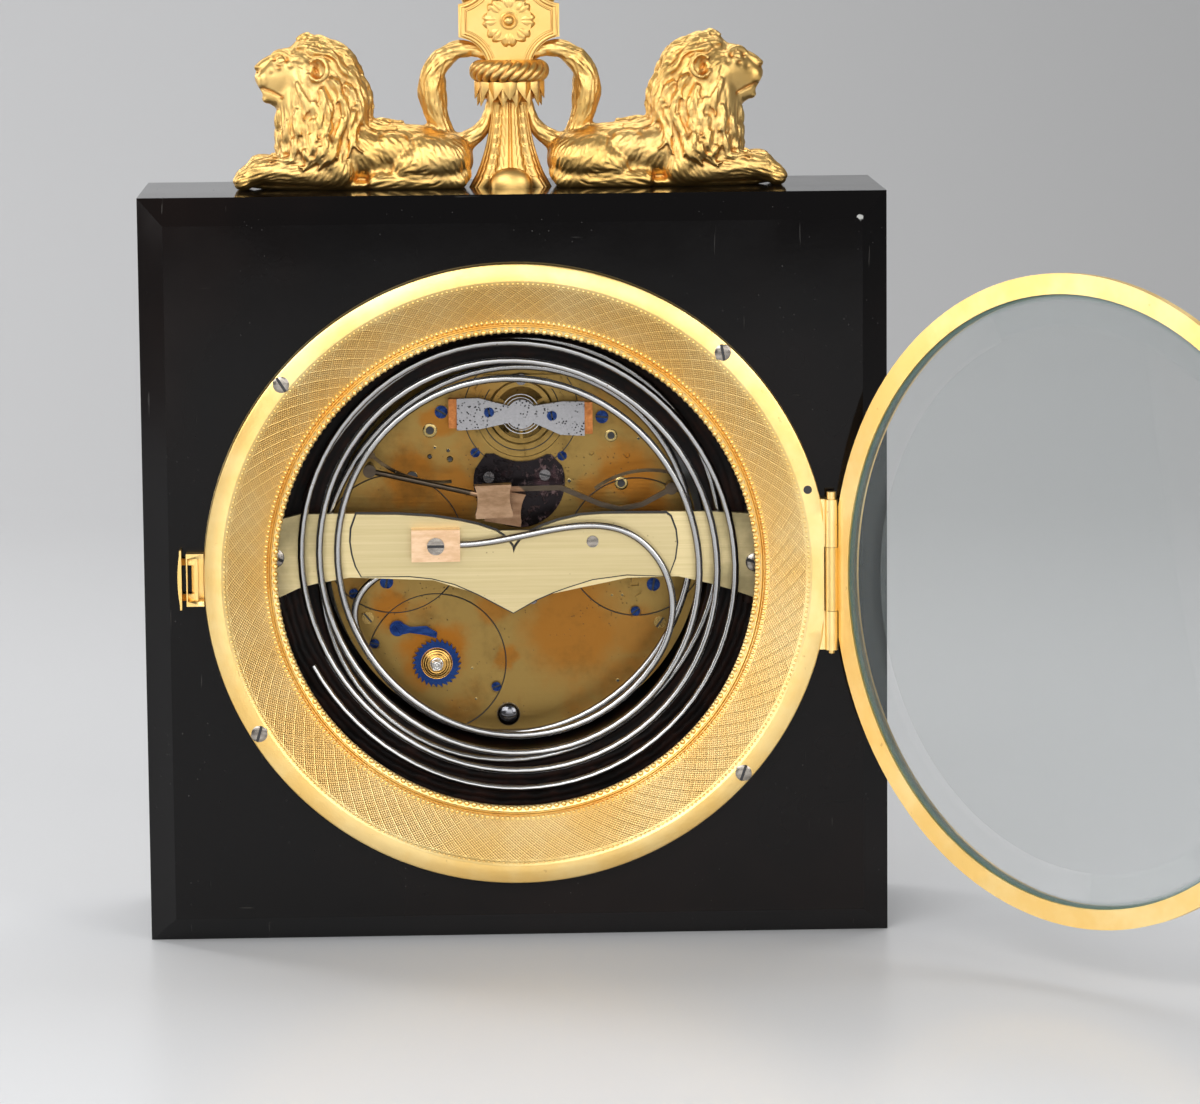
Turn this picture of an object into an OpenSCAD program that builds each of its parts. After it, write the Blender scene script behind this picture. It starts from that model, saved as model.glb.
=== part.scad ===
// Travel clock with striking on two wire gongs. The dial faces +Y and the gongs face -Y.
// The origin is the middle of the face that the case stands on, and +Z is up.

/* [Case] */
// Width of the wooden case
case_w = 170; // [168:1:180]
// Height of the wooden case
case_h = 171; // [170:1:180]
// Depth between the front rim and the rear rim
case_d = 52; // [52:1:54]
// Width of the bevel round each end of the case
bevel_w = 6; // [4:0.5:8]
// Depth of that bevel
bevel_rise = 6.5; // [6:0.5:8]
// Thickness of the boards
board = 10; // [8:1:10]
// Height of the dial centre above the base
dial_z = 85; // [84:0.5:88]

/* [Bezels and doors] */
// Outer radius of a bezel
bezel_r = 71.2; // [70:0.1:72]
// Radius of the opening in a bezel
opening_r = 54.7; // [54:0.1:56]
// Outer radius of a door ring
door_r = 71.9; // [71:0.1:72]
// Thickness of a door ring
door_t = 3.6; // [3:0.1:3.8]
// Radius of a hinge knuckle
knuckle_r = 1.5; // [1.4:0.05:1.6]
// Angle at which the rear door stands open
door_open = 132; // [0:1:132]

/* [Gongs] */
// Thickness of the gong wire
wire_d = 1.7; // [1.2:0.1:2]
// Radius at which each gong starts to spiral
gong_r = 39.5; // [39:0.1:40]
// Step from turn to turn of the nearer gong
gong_a_step = 4.2; // [3.5:0.1:4.3]
// Turns of the nearer gong
gong_a_turns = 3.32; // [2:0.01:3.4]
// How far the nearer gong is out of round
gong_a_oval = 0.95; // [0:0.05:1]
// Step from turn to turn of the farther gong
gong_b_step = 6.5; // [4:0.1:6.6]
// Turns of the farther gong
gong_b_turns = 1.87; // [1:0.01:1.9]
// How far the farther gong is out of round
gong_b_oval = 1.6; // [0:0.1:1.6]

/* [Movement] */
// Radius of the two movement plates
plate_r = 43.5; // [43:0.1:44]
// Thickness of each plate
plate_t = 2; // [1.5:0.1:2]
// Clear distance between the plates
plate_gap = 14; // [14:0.5:15]
// Radius of the balance wheel
balance_r = 7.2; // [6.5:0.1:7.4]

/* [Ornament] */
// Height of the rope collar's middle above the top of the case
collar_h = 26.7; // [26:0.1:27.4]
// Radius of the rope collar
collar_r = 9.3; // [8.8:0.1:9.6]
// Inner radius of the carrying ring
ring_r = 8.7; // [8:0.1:9]

/* [Hidden] */
$fn = 72;

gilt = "gold";
lacquer = [0.05, 0.045, 0.045];
brass = [0.78, 0.62, 0.30];
steel = [0.62, 0.62, 0.64];
blued = [0.10, 0.16, 0.42];

rim_y = case_d / 2;
face_y = rim_y + bevel_rise;
inner_y = face_y - board;
axis_p = [0, dial_z];

// Extrudes a drawing in X and Z from the plane y0 to the plane y1
module slab(y0, y1) {
    translate([0, y1, 0]) rotate([90, 0, 0]) linear_extrude(y1 - y0) children();
}

// Round bar along Y at the point p of X and Z
module bar(p, r, y0, y1) {
    translate([p[0], y1, p[1]]) rotate([90, 0, 0]) cylinder(h = y1 - y0, r = r);
}

// Turned piece about Y: its profile is radius and height, the height running rearwards from y
module turned(p, y) {
    translate([p[0], y, p[1]]) rotate([90, 0, 0]) rotate_extrude() children();
}

// Flat ring from y0 to y1
module washer(p, r_out, r_in, y0, y1) {
    slab(y0, y1) translate(p) difference() {
        circle(r_out);
        circle(r_in);
    }
}

// Rear parts repeated on the dial side
module front_side() {
    mirror([0, 1, 0]) children();
}

function polar(c, r, a) = [c[0] + r * cos(a), c[1] + r * sin(a)];
function heading(a, b) = atan2(b[1] - a[1], b[0] - a[0]);

// Point at ra from a and rb from b, on the side given by 1 or -1
function meet(a, ra, b, rb, side) =
    let (d = norm(b - a), u = (ra * ra - rb * rb + d * d) / (2 * d), v = sqrt(ra * ra - u * u))
    polar(polar(a, u, heading(a, b)), v, heading(a, b) + 90 * side);

// Straight-sided clock tooth: each gear has n teeth of module m
function gear_points(n, m, add, ded, root_w, tip_w) = [
    for (i = [0 : n - 1])
        for (k = [[-root_w, -ded], [-tip_w, add], [tip_w, add], [root_w, -ded]])
            polar([0, 0], m * (n / 2 + k[1]), (i + k[0]) * 360 / n)
];
function wheel_points(n, m) = gear_points(n, m, 1.0, 1.35, 0.25, 0.07);
function pinion_points(n, m) = gear_points(n, m, 0.6, 1.45, 0.16, 0.08);

// A wheel with a tooth towards the angle a, and a pinion with a gap towards it
module wheel(p, n, m, a, y0, y1) {
    slab(y0, y1) translate(p) rotate(a) polygon(wheel_points(n, m));
}
module pinion(p, n, m, a, y0, y1) {
    slab(y0, y1) translate(p) rotate(a + 180 / n) polygon(pinion_points(n, m));
}

// Crossed-out wheel: a toothed rim, arms and a hub
module spoked_wheel(p, n, m, a, y0, y1, arms, hub) {
    rim_in = m * (n / 2 - 1.35) - 1.1;
    slab(y0, y1) translate(p) {
        difference() {
            rotate(a) polygon(wheel_points(n, m));
            circle(rim_in);
        }
        circle(hub);
        for (i = [0 : arms - 1])
            rotate(i * 360 / arms) translate([0, -0.5]) square([rim_in + 0.3, 1]);
    }
}

// Case

function bevel_profile(lo, hi) = [
    [lo, -inner_y], [lo, -rim_y], [lo + bevel_w, -face_y],
    [hi - bevel_w, -face_y], [hi, -rim_y], [hi, -inner_y]
];
well_bore = 64.5;

module end_board() {
    difference() {
        intersection() {
            linear_extrude(case_h) polygon(bevel_profile(-case_w / 2, case_w / 2));
            translate([-case_w / 2, 0, 0]) rotate([90, 0, 90]) linear_extrude(case_w)
                polygon([for (p = bevel_profile(0, case_h)) [p[1], p[0]]]);
        }
        bar(axis_p, well_bore, -face_y - 1, -inner_y + 1);
    }
}

module rear_board() {
    color(lacquer) end_board();
}

module front_board() {
    color(lacquer) front_side() end_board();
}

stud_x = [-44, 0, 44];
stud_r = 1.5;
stud_clear = 0.3;

module case_top() {
    color(lacquer) difference() {
        translate([-case_w / 2, -inner_y, case_h - board]) cube([case_w, 2 * inner_y, board]);
        for (x = stud_x)
            translate([x, 0, case_h - board - 1])
                cylinder(h = board + 2, r = stud_r + stud_clear);
    }
}

module case_base() {
    color(lacquer) translate([-case_w / 2, -inner_y, 0]) cube([case_w, 2 * inner_y, board]);
}

module case_sides() {
    color(lacquer) for (x = [-case_w / 2, case_w / 2 - board])
        translate([x, -inner_y, board]) cube([board, 2 * inner_y, case_h - 2 * board]);
}

// Turned block with room for the gongs, and a lug each side that the gong strap is screwed to
strap_seat_y = -8.4;
ledge_y = -3.6;
well_r = 70;
gong_room_r = 60;
movement_room_r = 45.5;
lug_x = 53.2;

module movement_well() {
    color([0.16, 0.09, 0.06]) {
        difference() {
            bar(axis_p, well_r, -inner_y, inner_y);
            bar(axis_p, gong_room_r, -inner_y - 1, ledge_y);
            bar(axis_p, movement_room_r, ledge_y - 1, inner_y + 1);
        }
        slab(strap_seat_y, ledge_y + 1) intersection() {
            translate(axis_p) circle(gong_room_r + 1);
            for (x = [-gong_room_r - 1, lug_x])
                translate([x, dial_z - 11]) square([gong_room_r + 1 - lug_x, 23]);
        }
    }
}

// Ornament on the top of the case

top_z = case_h;
collar_z = top_z + collar_h;
plaque_half_w = 11.6;
plaque_z = top_z + 38.3;
plaque_half_t = 2.5;
eye_z = top_z + 55;
eye_major = 3.2;
eye_minor = 1.2;

collar_half_h = 2.6;
crown_z1 = collar_z - collar_half_h;
crown_z0 = crown_z1 - 6;
leaf_count = 12;

// The shaft flares to a foot of leaves, with a boss each side and a crown of pointed leaves
module shaft_profile() {
    polygon([
        [0, 0], [9, 0], [8.4, 1.6], [6.9, 5], [5.5, 9.5], [4.6, 14], [4.1, 18.1], [0, 18.1]
    ]);
}

module ornament_shaft() {
    color(gilt) {
        translate([0, 0, top_z]) rotate_extrude() shaft_profile();
        for (side = [-1, 1])
            intersection() {
                translate([0, side * 7.4, top_z + 1.9]) sphere(3);
                translate([-5, -12, top_z]) cube([10, 24, 6]);
            }
        translate([0, 0, top_z - board - 3]) cylinder(h = board + 3.5, r = stud_r);
        leaf_crown();
    }
}

module leaf_crown() {
    difference() {
        translate([0, 0, crown_z0]) rotate_extrude()
            polygon([[0, 0], [7.2, 0], [8.3, 1.2], [7.6, 3], [7, 6], [0, 6]]);
        for (i = [0 : leaf_count - 1])
            rotate([0, 0, (i + 0.5) * 360 / leaf_count]) translate([9, 0, crown_z0])
                rotate([90, 0, -90]) linear_extrude(3.6)
                    polygon([[-1.9, -0.5], [1.9, -0.5], [0, 3.6]]);
    }
}

module rope_collar() {
    color(gilt) translate([0, 0, collar_z]) rotate_extrude() {
        translate([0, -collar_half_h]) square([collar_r - collar_half_h, 2 * collar_half_h]);
        intersection() {
            translate([collar_r - collar_half_h, 0]) circle(collar_half_h);
            translate([0, -collar_half_h]) square([collar_r, 2 * collar_half_h]);
        }
    }
}

neck_r = 7.5;
plaque_foot_z = collar_z + collar_half_h;
plaque_head_z = 2 * plaque_z - plaque_foot_z;

module plaque_outline() {
    difference() {
        translate([-plaque_half_w, plaque_foot_z])
            square([2 * plaque_half_w, plaque_head_z - plaque_foot_z]);
        for (x = [-1, 1])
            for (z = [-1, 1])
                translate([x * (plaque_half_w + 0.9), plaque_z + z * 11.2]) circle(neck_r);
    }
}

// Plaque with a raised border, a rosette each side, a knob and the eye for the ring
module rosette_plaque() {
    color(gilt) {
        rosettes();
        slab(-plaque_half_t, plaque_half_t) plaque_outline();
        for (x = [-1, 1])
            translate([x * (plaque_half_w - 0.7) - 0.7, -plaque_half_t - 0.5, plaque_z - 3.6])
                cube([1.4, 2 * plaque_half_t + 1, 7.2]);
        translate([0, 0, plaque_head_z]) rotate_extrude()
            polygon([[0, -0.4], [2, -0.4], [2, 0], [5, 0], [5.8, 1.6], [5, 3.2], [2.4, 4.1], [0, 4.1]]);
        translate([0, 0, eye_z]) rotate([0, 90, 0]) rotate_extrude()
            translate([eye_major, 0]) circle(eye_minor, $fn = 24);
    }
}

petal_count = 10;

module rosettes() {
    for (turn = [0, 180])
        rotate([0, 0, turn]) {
            slab(-plaque_half_t - 0.8, -plaque_half_t) translate([0, plaque_z]) {
                circle(3.2);
                for (i = [0 : petal_count - 1])
                    rotate((i + 0.5) * 360 / petal_count) translate([3.9, 0]) circle(1.35);
            }
            intersection() {
                translate([0, -plaque_half_t - 0.8, plaque_z]) sphere(1.1);
                slab(-plaque_half_t - 3, -plaque_half_t) translate([0, plaque_z]) circle(2);
            }
        }
}

// The ring hangs down on the dial side, clear of the plaque
ring_wire = 1.3;
ring_lean = 24;

module carrying_ring() {
    ring_major = ring_r + ring_wire;
    color(gilt) translate([0, 0, eye_z]) rotate([ring_lean, 0, 0])
        translate([0, 0, -ring_major]) rotate([90, 0, 0]) rotate_extrude()
            translate([ring_major, 0]) circle(ring_wire, $fn = 24);
}

module ornament_nuts() {
    color(steel) for (x = stud_x)
        translate([x, 0, case_h - board - 2.2]) difference() {
            cylinder(h = 2.2, r = 3.4, $fn = 6);
            translate([0, 0, -1]) cylinder(h = 5, r = stud_r + 0.02);
        }
}

// Lion: rounded limbs between balls, each ball given as x, y, z above the case and radius
module limb(balls) {
    hull() for (b = balls)
        translate([b[0], b[1], top_z + b[2]]) sphere(b[3], $fn = 14);
}

module lion_body() {
    // Trunk and rump
    limb([[-43, 0, 9, 7.5], [-20, 0, 7, 7.2], [-15, 0, 6.5, 6.6]]);
    // Neck and the full mane
    limb([
        [-45, 0, 9, 8.4], [-47.8, 0, 12, 5.6], [-38.5, 0, 19, 6.6], [-46, 0, 22, 7.5],
        [-39.5, 0, 12, 7]
    ]);
    limb([[-46, 0, 25, 7.4], [-46, 0, 30.6, 4.6], [-41, 0, 27.5, 5.6], [-38.5, 0, 20, 6.2]]);
    // Head, muzzle and chin
    limb([[-48.5, 0, 26, 6.2], [-51.5, 0, 29.6, 2.8], [-56.8, 0, 25.8, 1.9], [-55.2, 0, 23.6, 2.2]]);
    limb([[-50, 0, 22, 4.6], [-55.2, 0, 21.6, 1.7]]);
    for (side = [-1, 1]) {
        // Ear
        limb([[-44.6, side * 5.8, 27.8, 1.9], [-43.6, side * 6.2, 28.6, 1.5]]);
        // Foreleg and paw
        limb([[-43, side * 4.6, 10, 4.6], [-39, side * 5.4, 4, 3.4]]);
        limb([[-39.5, side * 5.4, 3.4, 3], [-52, side * 5, 4, 2.7], [-58, side * 4.6, 4.8, 3]]);
        limb([[-57.5, side * 4.6, 4.6, 3], [-61.8, side * 4.6, 2.2, 2.2]]);
        // Thigh, hind leg and paw
        limb([[-14.5, side * 3.6, 7, 5.6], [-24, side * 5, 5.4, 3.6], [-19, side * 4.6, 8.6, 3.8]]);
        limb([[-12, side * 5.6, 2, 2.2], [-31, side * 6, 1.8, 2]]);
    }
}

// The tail sweeps up past the shaft, comes over by the plaque and falls on the back
tail_low = [[-11, 10, 2.4], [-7.4, 12.4, 1.9], [-5, 15, 1.6], [-4.2, 19, 1.5]];
tail_high = [
    [-6.5, 31.6, 1.6], [-12.6, 31.6, 1.9], [-17.2, 27, 2.4],
    [-18.2, 21.8, 3.1], [-17.4, 17.5, 2.6], [-14.6, 12, 2]
];

module tail(points) {
    for (i = [0 : len(points) - 2])
        limb([for (p = [points[i], points[i + 1]]) [p[0], 0, p[1], p[2]]]);
}

module lion() {
    color(gilt) {
        difference() {
            union() {
                lion_body();
                tail(tail_low);
                tail(tail_high);
            }
            translate([-80, -20, top_z - 10]) cube([80, 40, 10]);
            translate([0, 0, top_z - 0.01]) scale(1.01) rotate_extrude($fn = 40) shaft_profile();
            translate([0, 0, crown_z0 - 0.05]) cylinder(h = 16, r = 8.4, $fn = 40);
            translate([0, 0, crown_z1 - 0.05]) cylinder(h = 5.3, r = collar_r + 0.06, $fn = 40);
            slab(-plaque_half_t, plaque_half_t) intersection() {
                offset(delta = 0.06, $fn = 40) plaque_outline();
                translate([-7, 0]) square([14, 400]);
            }
        }
        translate([stud_x[0], 0, top_z - board - 3]) cylinder(h = board + 6, r = stud_r, $fn = 20);
    }
}

module lion_left() {
    lion();
}

module lion_right() {
    mirror([1, 0, 0]) lion();
}

// Bezels

hinge_x = 71.5;
hinge_y = -35.7;
hinge_half = 17.25;
door_knuckle_lo = -8.2;
door_knuckle_hi = 6.3;
chord_x = 69.6;

// Heights stand above the face of the board
module bezel_profile() {
    polygon([
        [opening_r, -5.9], [opening_r, -5.1], [opening_r + 0.5, -4.7], [opening_r + 1.3, -4.4],
        [opening_r + 1.9, -4.6], [66.5, 3.2], [67, 3.5], [68.3, 3.5],
        [bezel_r - 0.7, 1.9], [bezel_r, 1], [bezel_r, 0], [64.4, 0], [opening_r + 2.2, -5.9]
    ]);
}

hinge_mid_z = dial_z - 0.65;

module knuckle(lo, hi, r) {
    translate([hinge_x, hinge_y, hinge_mid_z + lo]) cylinder(h = hi - lo, r = r);
}

module bezel(catch) {
    difference() {
        union() {
            difference() {
                turned(axis_p, -face_y) bezel_profile();
                translate([chord_x, -face_y - 6, dial_z - 30]) cube([5, 12, 60]);
            }
            translate([68.2, hinge_y + 0.2, hinge_mid_z - hinge_half])
                cube([hinge_x - 68.2, -face_y - hinge_y - 0.2, 2 * hinge_half]);
            knuckle(-hinge_half, door_knuckle_lo - 0.1, knuckle_r);
            knuckle(door_knuckle_hi + 0.1, hinge_half, knuckle_r);
        }
        knuckle(door_knuckle_lo - 0.1, door_knuckle_hi + 0.1, knuckle_r + 0.2);
        knuckle(-hinge_half - 1, hinge_half + 1, pin_r + 0.03);
        for (a = bezel_screw_angles)
            bar(polar(axis_p, screw_ring_r, a), screw_shank_r + 0.05, -face_y - 5, -face_y + 2);
        for (a = bezel_screw_angles)
            bar(polar(axis_p, screw_ring_r, a), screw_head_r + 0.05, -face_y - 5, -face_y - 1.2);
        if (catch) slab(-face_y - 3, -face_y) latch_room();
    }
}

module rear_bezel() {
    color(gilt) bezel(true);
}

module front_bezel() {
    color(gilt) front_side() bezel(false);
}

bezel_screw_angles = [140, 47, -149, -42];
screw_ring_r = 68.9;
screw_head_r = 2;
screw_shank_r = 1.1;

module slotted_screw(p, r_head, r_shank, y0, y_seat, y1, slot_a) {
    difference() {
        union() {
            bar(p, r_head, y0, y_seat);
            bar(p, r_shank, y_seat - 0.01, y1);
        }
        translate([p[0], y0, p[1]]) rotate([0, slot_a, 0])
            cube([2 * r_head + 1, 0.9, r_head * 0.32], center = true);
    }
}

// Screws that hold the bezels and the gong strap to the wood
module wood_screws() {
    color(steel) {
        for (p = strap_screw_p)
            slotted_screw(p, 2.2, 1.2, strap_y - 1.2, strap_y, strap_seat_y, 20);
        for (a = bezel_screw_angles)
            slotted_screw(polar(axis_p, screw_ring_r, a), screw_head_r, screw_shank_r,
                          -face_y - 2.9, -face_y - 1.2, -face_y, a * 1.7);
        for (a = bezel_screw_angles)
            front_side() slotted_screw(polar(axis_p, screw_ring_r, a), screw_head_r, screw_shank_r,
                          -face_y - 2.9, -face_y - 1.2, -face_y, a * 2.3);
    }
}

pin_r = 0.7;

module hinge_pin() {
    translate([hinge_x, hinge_y, hinge_mid_z - hinge_half - 0.8])
        cylinder(h = 2 * hinge_half + 2.6, r = pin_r);
    translate([hinge_x, hinge_y, hinge_mid_z + hinge_half + 0.1]) cylinder(h = 1.7, r = 1.1);
}

module hinge_pins() {
    color(gilt) {
        hinge_pin();
        front_side() hinge_pin();
    }
}

// Doors, drawn closed and swung about the hinge

door_back = 36.3;
door_lip_r = 67;
glass_r = 68.7;
door_c = [hinge_x - door_r, dial_z];

module door_profile() {
    polygon([
        [67.4, 0], [door_r, 0], [door_r, door_t - 1.8], [door_r - 1, door_t - 0.5],
        [door_r - 2.2, door_t], [door_lip_r + 0.6, door_t], [door_lip_r, door_t - 0.5],
        [door_lip_r, 2.55], [glass_r + 0.05, 2.55], [glass_r + 0.05, 0.5], [67.4, 0.5]
    ]);
}

module glass_profile() {
    polygon([[0, 0.53], [glass_r, 0.53], [glass_r, 1.5], [66.8, 1.5], [60, 2.9], [0, 2.9]]);
}

latch_z = 2.5;
hook_x = -74.4;
hook_bar_y = -face_y - 2.3;

// Hook on the door rim: its barb goes under the bar of the catch
module latch_hook() {
    translate([hook_x, -door_back - 0.4, dial_z - latch_z]) cube([3, 1.2, 2 * latch_z]);
    translate([hook_x, -door_back, dial_z - latch_z]) cube([0.9, 3.5, 2 * latch_z]);
    translate([hook_x, -face_y - 0.9, dial_z - latch_z]) cube([1.7, 0.6, 2 * latch_z]);
}

module latch_room() {
    translate([-76, dial_z - latch_z - 0.5]) square([5.6, 2 * latch_z + 1]);
}

module door_ring(catch) {
    difference() {
        union() {
            turned(door_c, -door_back) door_profile();
            knuckle(door_knuckle_lo, door_knuckle_hi, knuckle_r);
            if (catch) latch_hook();
        }
        knuckle(-hinge_half - 1, door_knuckle_lo, knuckle_r + 0.2);
        knuckle(door_knuckle_hi, hinge_half + 3, knuckle_r + 0.2);
        knuckle(door_knuckle_lo - 1, door_knuckle_hi + 1, pin_r + 0.05);
    }
}

module swung(a) {
    translate([hinge_x, hinge_y, 0]) rotate([0, 0, a]) translate([-hinge_x, -hinge_y, 0]) children();
}

module rear_door_ring() {
    color(gilt) swung(door_open) door_ring(true);
}

module rear_door_glass() {
    color([0.8, 0.92, 0.9, 0.35]) swung(door_open) turned(door_c, -door_back) glass_profile();
}

module front_door_ring() {
    color(gilt) front_side() door_ring(false);
}

module front_door_glass() {
    color([0.8, 0.92, 0.9, 0.35]) front_side() turned(door_c, -door_back) glass_profile();
}

// Catch at the edge of the rear bezel, pressed in towards the clock

block_half_z = 6;

module catch_block() {
    color(gilt) difference() {
        translate([-75.4, -face_y - 3.6, dial_z - block_half_z]) cube([4.9, 3.6, 2 * block_half_z]);
        bar(axis_p, bezel_r + 0.05, -face_y - 5, -face_y + 1);
        translate([-74.7, -face_y - 5, dial_z - 4.9]) cube([9, 8, 9.8]);
        for (z = [3.2, -4.9])
            translate([-80, hook_bar_y - 0.1, dial_z + z]) cube([9.4, 1.4, 1.7]);
    }
}

// Domed plate on a yoke: two tongues run in past the hook and a bar joins them over its barb
module catch_button() {
    color(gilt) {
        translate([-77.6, -face_y - 3.4, dial_z - 6.8]) cube([0.9, 3.2, 13.6]);
        intersection() {
            translate([-60.2, -face_y - 1.8, dial_z]) sphere(18.4, $fn = 200);
            translate([-79, -face_y - 3.4, dial_z - 6.8]) cube([1.5, 3.2, 13.6]);
        }
        for (z = [3.3, -4.8])
            translate([-76.8, hook_bar_y, dial_z + z]) cube([4.4, 1.2, 1.5]);
        translate([-73.2, hook_bar_y, dial_z - 4.8]) cube([0.8, 1.2, 9.6]);
    }
}

// Gongs and what holds them

strap_y = -10.4;
gong_plate_y = -12;
strap_end = 59;
gong_a_y = -14.2;
gong_b_y = -6.2;

module strap_outline() {
    polygon([
        [-strap_end, 94], [-54.6, 95.2], [-49.6, 96.4], [-34, 96.4], [-26, 92], [26, 92],
        [34, 96], [43.7, 95.9], [52.7, 95.4], [strap_end, 95], [strap_end, 74.5],
        [55.2, 75.7], [50.5, 77.4], [45.7, 78.9], [37.8, 80.8], [26, 80.6], [8, 77], [0, 74],
        [-8, 77], [-19, 80.6], [-38.3, 81.5], [-46.2, 80.2], [-50.1, 79.2], [-56, 76.5],
        [-strap_end, 75]
    ]);
}

strap_screw_p = [[-55.6, 86.4], [55.6, 84]];

module gong_strap() {
    color(brass) difference() {
        slab(strap_y, strap_seat_y) intersection() {
            strap_outline();
            translate(axis_p) circle(gong_room_r - 0.3);
        }
        for (p = strap_screw_p) bar(p, 1.25, strap_y - 1, strap_seat_y + 1);
        bar(gong_rivet_p, rivet_r + running, strap_y - 1, strap_seat_y + 1);
    }
}

// Plate with two lobes, rounded ends, a notch above and a point below
module gong_plate_outline() {
    polygon([
        [-35.6, 81.9], [-36.8, 84.2], [-37.6, 87], [-38, 90], [-37.8, 93], [-36.6, 96.4],
        [-27.2, 96.2], [-19.2, 95.6], [-12.9, 94.6], [-8.6, 93.6], [-4.4, 92.1], [-2.4, 90.6],
        [-1.5, 89.5], [-0.7, 88.5], [-0.4, 86.9], [0.1, 88.3], [0.8, 89.3], [1.4, 90.1],
        [3.6, 91.7], [6.2, 93], [10, 94.3], [15.3, 95.5], [20.6, 95.8], [35, 95.7], [36, 94.9],
        [37.1, 91.8], [37.4, 88.8], [36.9, 85.1], [35.4, 81.1], [25.8, 81.6], [17.8, 80.6],
        [12.5, 79], [8.7, 77.7], [4.5, 75.9], [-0.6, 73], [-4.6, 75.2], [-8.8, 77.5],
        [-14.1, 79.9], [-19.4, 81.3], [-24.7, 81.9]
    ]);
}

gong_rivet_p = [17.9, 89.4];
gong_screw_p = [-18.4, 89.4];
rivet_r = 1.35;
block_screw_r = 1.2;

module gong_plate() {
    color(brass) difference() {
        slab(gong_plate_y, strap_y) gong_plate_outline();
        bar(gong_rivet_p, rivet_r + running, gong_plate_y - 1, strap_y + 1);
    }
}

block_w = 11.2;
block_h = 7.4;
block_t = 4.4;

wire_in = 3;

// The wire goes in on the side given by 1 or -1
module gong_block(c, y0, side) {
    difference() {
        translate([c[0] - block_w / 2, y0, c[1] - block_h / 2]) cube([block_w, block_t, block_h]);
        bar(c, block_screw_r + running, y0 - 1, y0 + block_t + 1);
        translate([c[0] + side * (block_w / 2 - wire_in / 2 + 0.4), y0 + block_t / 2, c[1]])
            rotate([0, 90, 0]) cylinder(h = wire_in + 1, r = wire_d / 2 + 0.1, center = true);
    }
}

module gong_blocks() {
    color([0.86, 0.66, 0.48]) {
        gong_block(gong_screw_p, gong_plate_y - block_t, 1);
        gong_block(gong_rivet_p, strap_seat_y, -1);
    }
}

module gong_screws() {
    color(steel) {
        slotted_screw(gong_screw_p, 2, block_screw_r, gong_plate_y - block_t - 0.9,
                      gong_plate_y - block_t, gong_plate_y, 0);
        bar(gong_rivet_p, rivet_r, gong_plate_y - 0.3, strap_seat_y);
        bar(gong_rivet_p, block_screw_r, strap_seat_y - 0.1, strap_seat_y + block_t);
    }
}

// Each gong is one wire: lead-in curves from its block, then a spiral a little out of round
gong_c = axis_p + [-0.35, 0.15];
gong_a_start = -38;
gong_b_start = 211;
rings_per_turn = 24;
lead_rings = 12;

function cubic(p, t) =
    pow(1 - t, 3) * p[0] + 3 * t * pow(1 - t, 2) * p[1] + 3 * t * t * (1 - t) * p[2] + pow(t, 3) * p[3];
function oval_point(r, oval, oval_a, a) = polar(gong_c, r - oval * cos(2 * (a - oval_a)), a);
function gong_a_at(turns) =
    oval_point(gong_r + gong_a_step * turns, gong_a_oval, 29.5, gong_a_start - 360 * turns);
function gong_b_at(turns) =
    oval_point(gong_r + gong_b_step * turns, gong_b_oval, -30, gong_b_start + 360 * turns);

function lead(a, ha, b, hb) =
    [for (i = [0 : lead_rings - 1]) cubic([a, a + ha, b - hb, b], i / lead_rings)];

gong_a_face = gong_screw_p + [block_w / 2, 0];
gong_a_bend = [30.25, 88.7];
gong_a_path = concat(
    [gong_a_face - [wire_in, 0]],
    lead(gong_a_face, [15.4, 0], gong_a_bend, [10.6, -10.3]),
    lead(gong_a_bend, [7.8, -7.6], gong_a_at(0), [-6.8, -9.1]),
    [for (i = [0 : ceil(gong_a_turns * rings_per_turn)])
        gong_a_at(i * gong_a_turns / ceil(gong_a_turns * rings_per_turn))]
);
gong_b_face = gong_rivet_p - [block_w / 2, 0];
gong_b_path = concat(
    [gong_b_face + [wire_in, 0]],
    lead(gong_b_face, [-30, -1], gong_b_at(0), [11.3, -18.9]),
    [for (i = [0 : ceil(gong_b_turns * rings_per_turn)])
        gong_b_at(i * gong_b_turns / ceil(gong_b_turns * rings_per_turn))]
);

// One closed tube of six sides along a flat path in the plane y
module wire(path, y) {
    n = len(path);
    sides = 6;
    rings = [
        for (i = [0 : n - 1])
            let (
                d = path[min(i + 1, n - 1)] - path[max(i - 1, 0)],
                across = [-d[1], d[0]] / norm(d)
            )
            for (k = [0 : sides - 1])
                let (
                    u = wire_d / 2 * cos(k * 360 / sides),
                    v = wire_d / 2 * sin(k * 360 / sides)
                )
                [path[i][0] + across[0] * u, y + v, path[i][1] + across[1] * u]
    ];
    skin = [
        for (i = [0 : n - 2])
            for (k = [0 : sides - 1])
                let (a = i * sides + k, b = i * sides + (k + 1) % sides)
                for (face = [[a, b, b + sides], [a, b + sides, a + sides]]) face
    ];
    start_cap = [for (k = [1 : sides - 2]) [0, k + 1, k]];
    end = (n - 1) * sides;
    end_cap = [for (k = [1 : sides - 2]) [end, end + k, end + k + 1]];
    polyhedron(points = rings, faces = concat(skin, start_cap, end_cap));
}

// Least clear gap between parts of one wire that lie more than a third of a turn apart
function least_gap(path) =
    min([
        for (i = [0 : len(path) - 1])
            for (j = [i + 8 : 1 : len(path) - 1])
                norm(path[i] - path[j])
    ]) - wire_d;

echo(gong_a_gap = least_gap(gong_a_path), gong_b_gap = least_gap(gong_b_path));

module gong_a() {
    color(steel) wire(gong_a_path, gong_a_y);
}

module gong_b() {
    color(steel) wire(gong_b_path, gong_b_y);
}

// Movement plates

rear_y = 3;
between_y = rear_y + plate_t;
front_y = between_y + plate_gap;
outer_y = front_y + plate_t;

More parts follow.
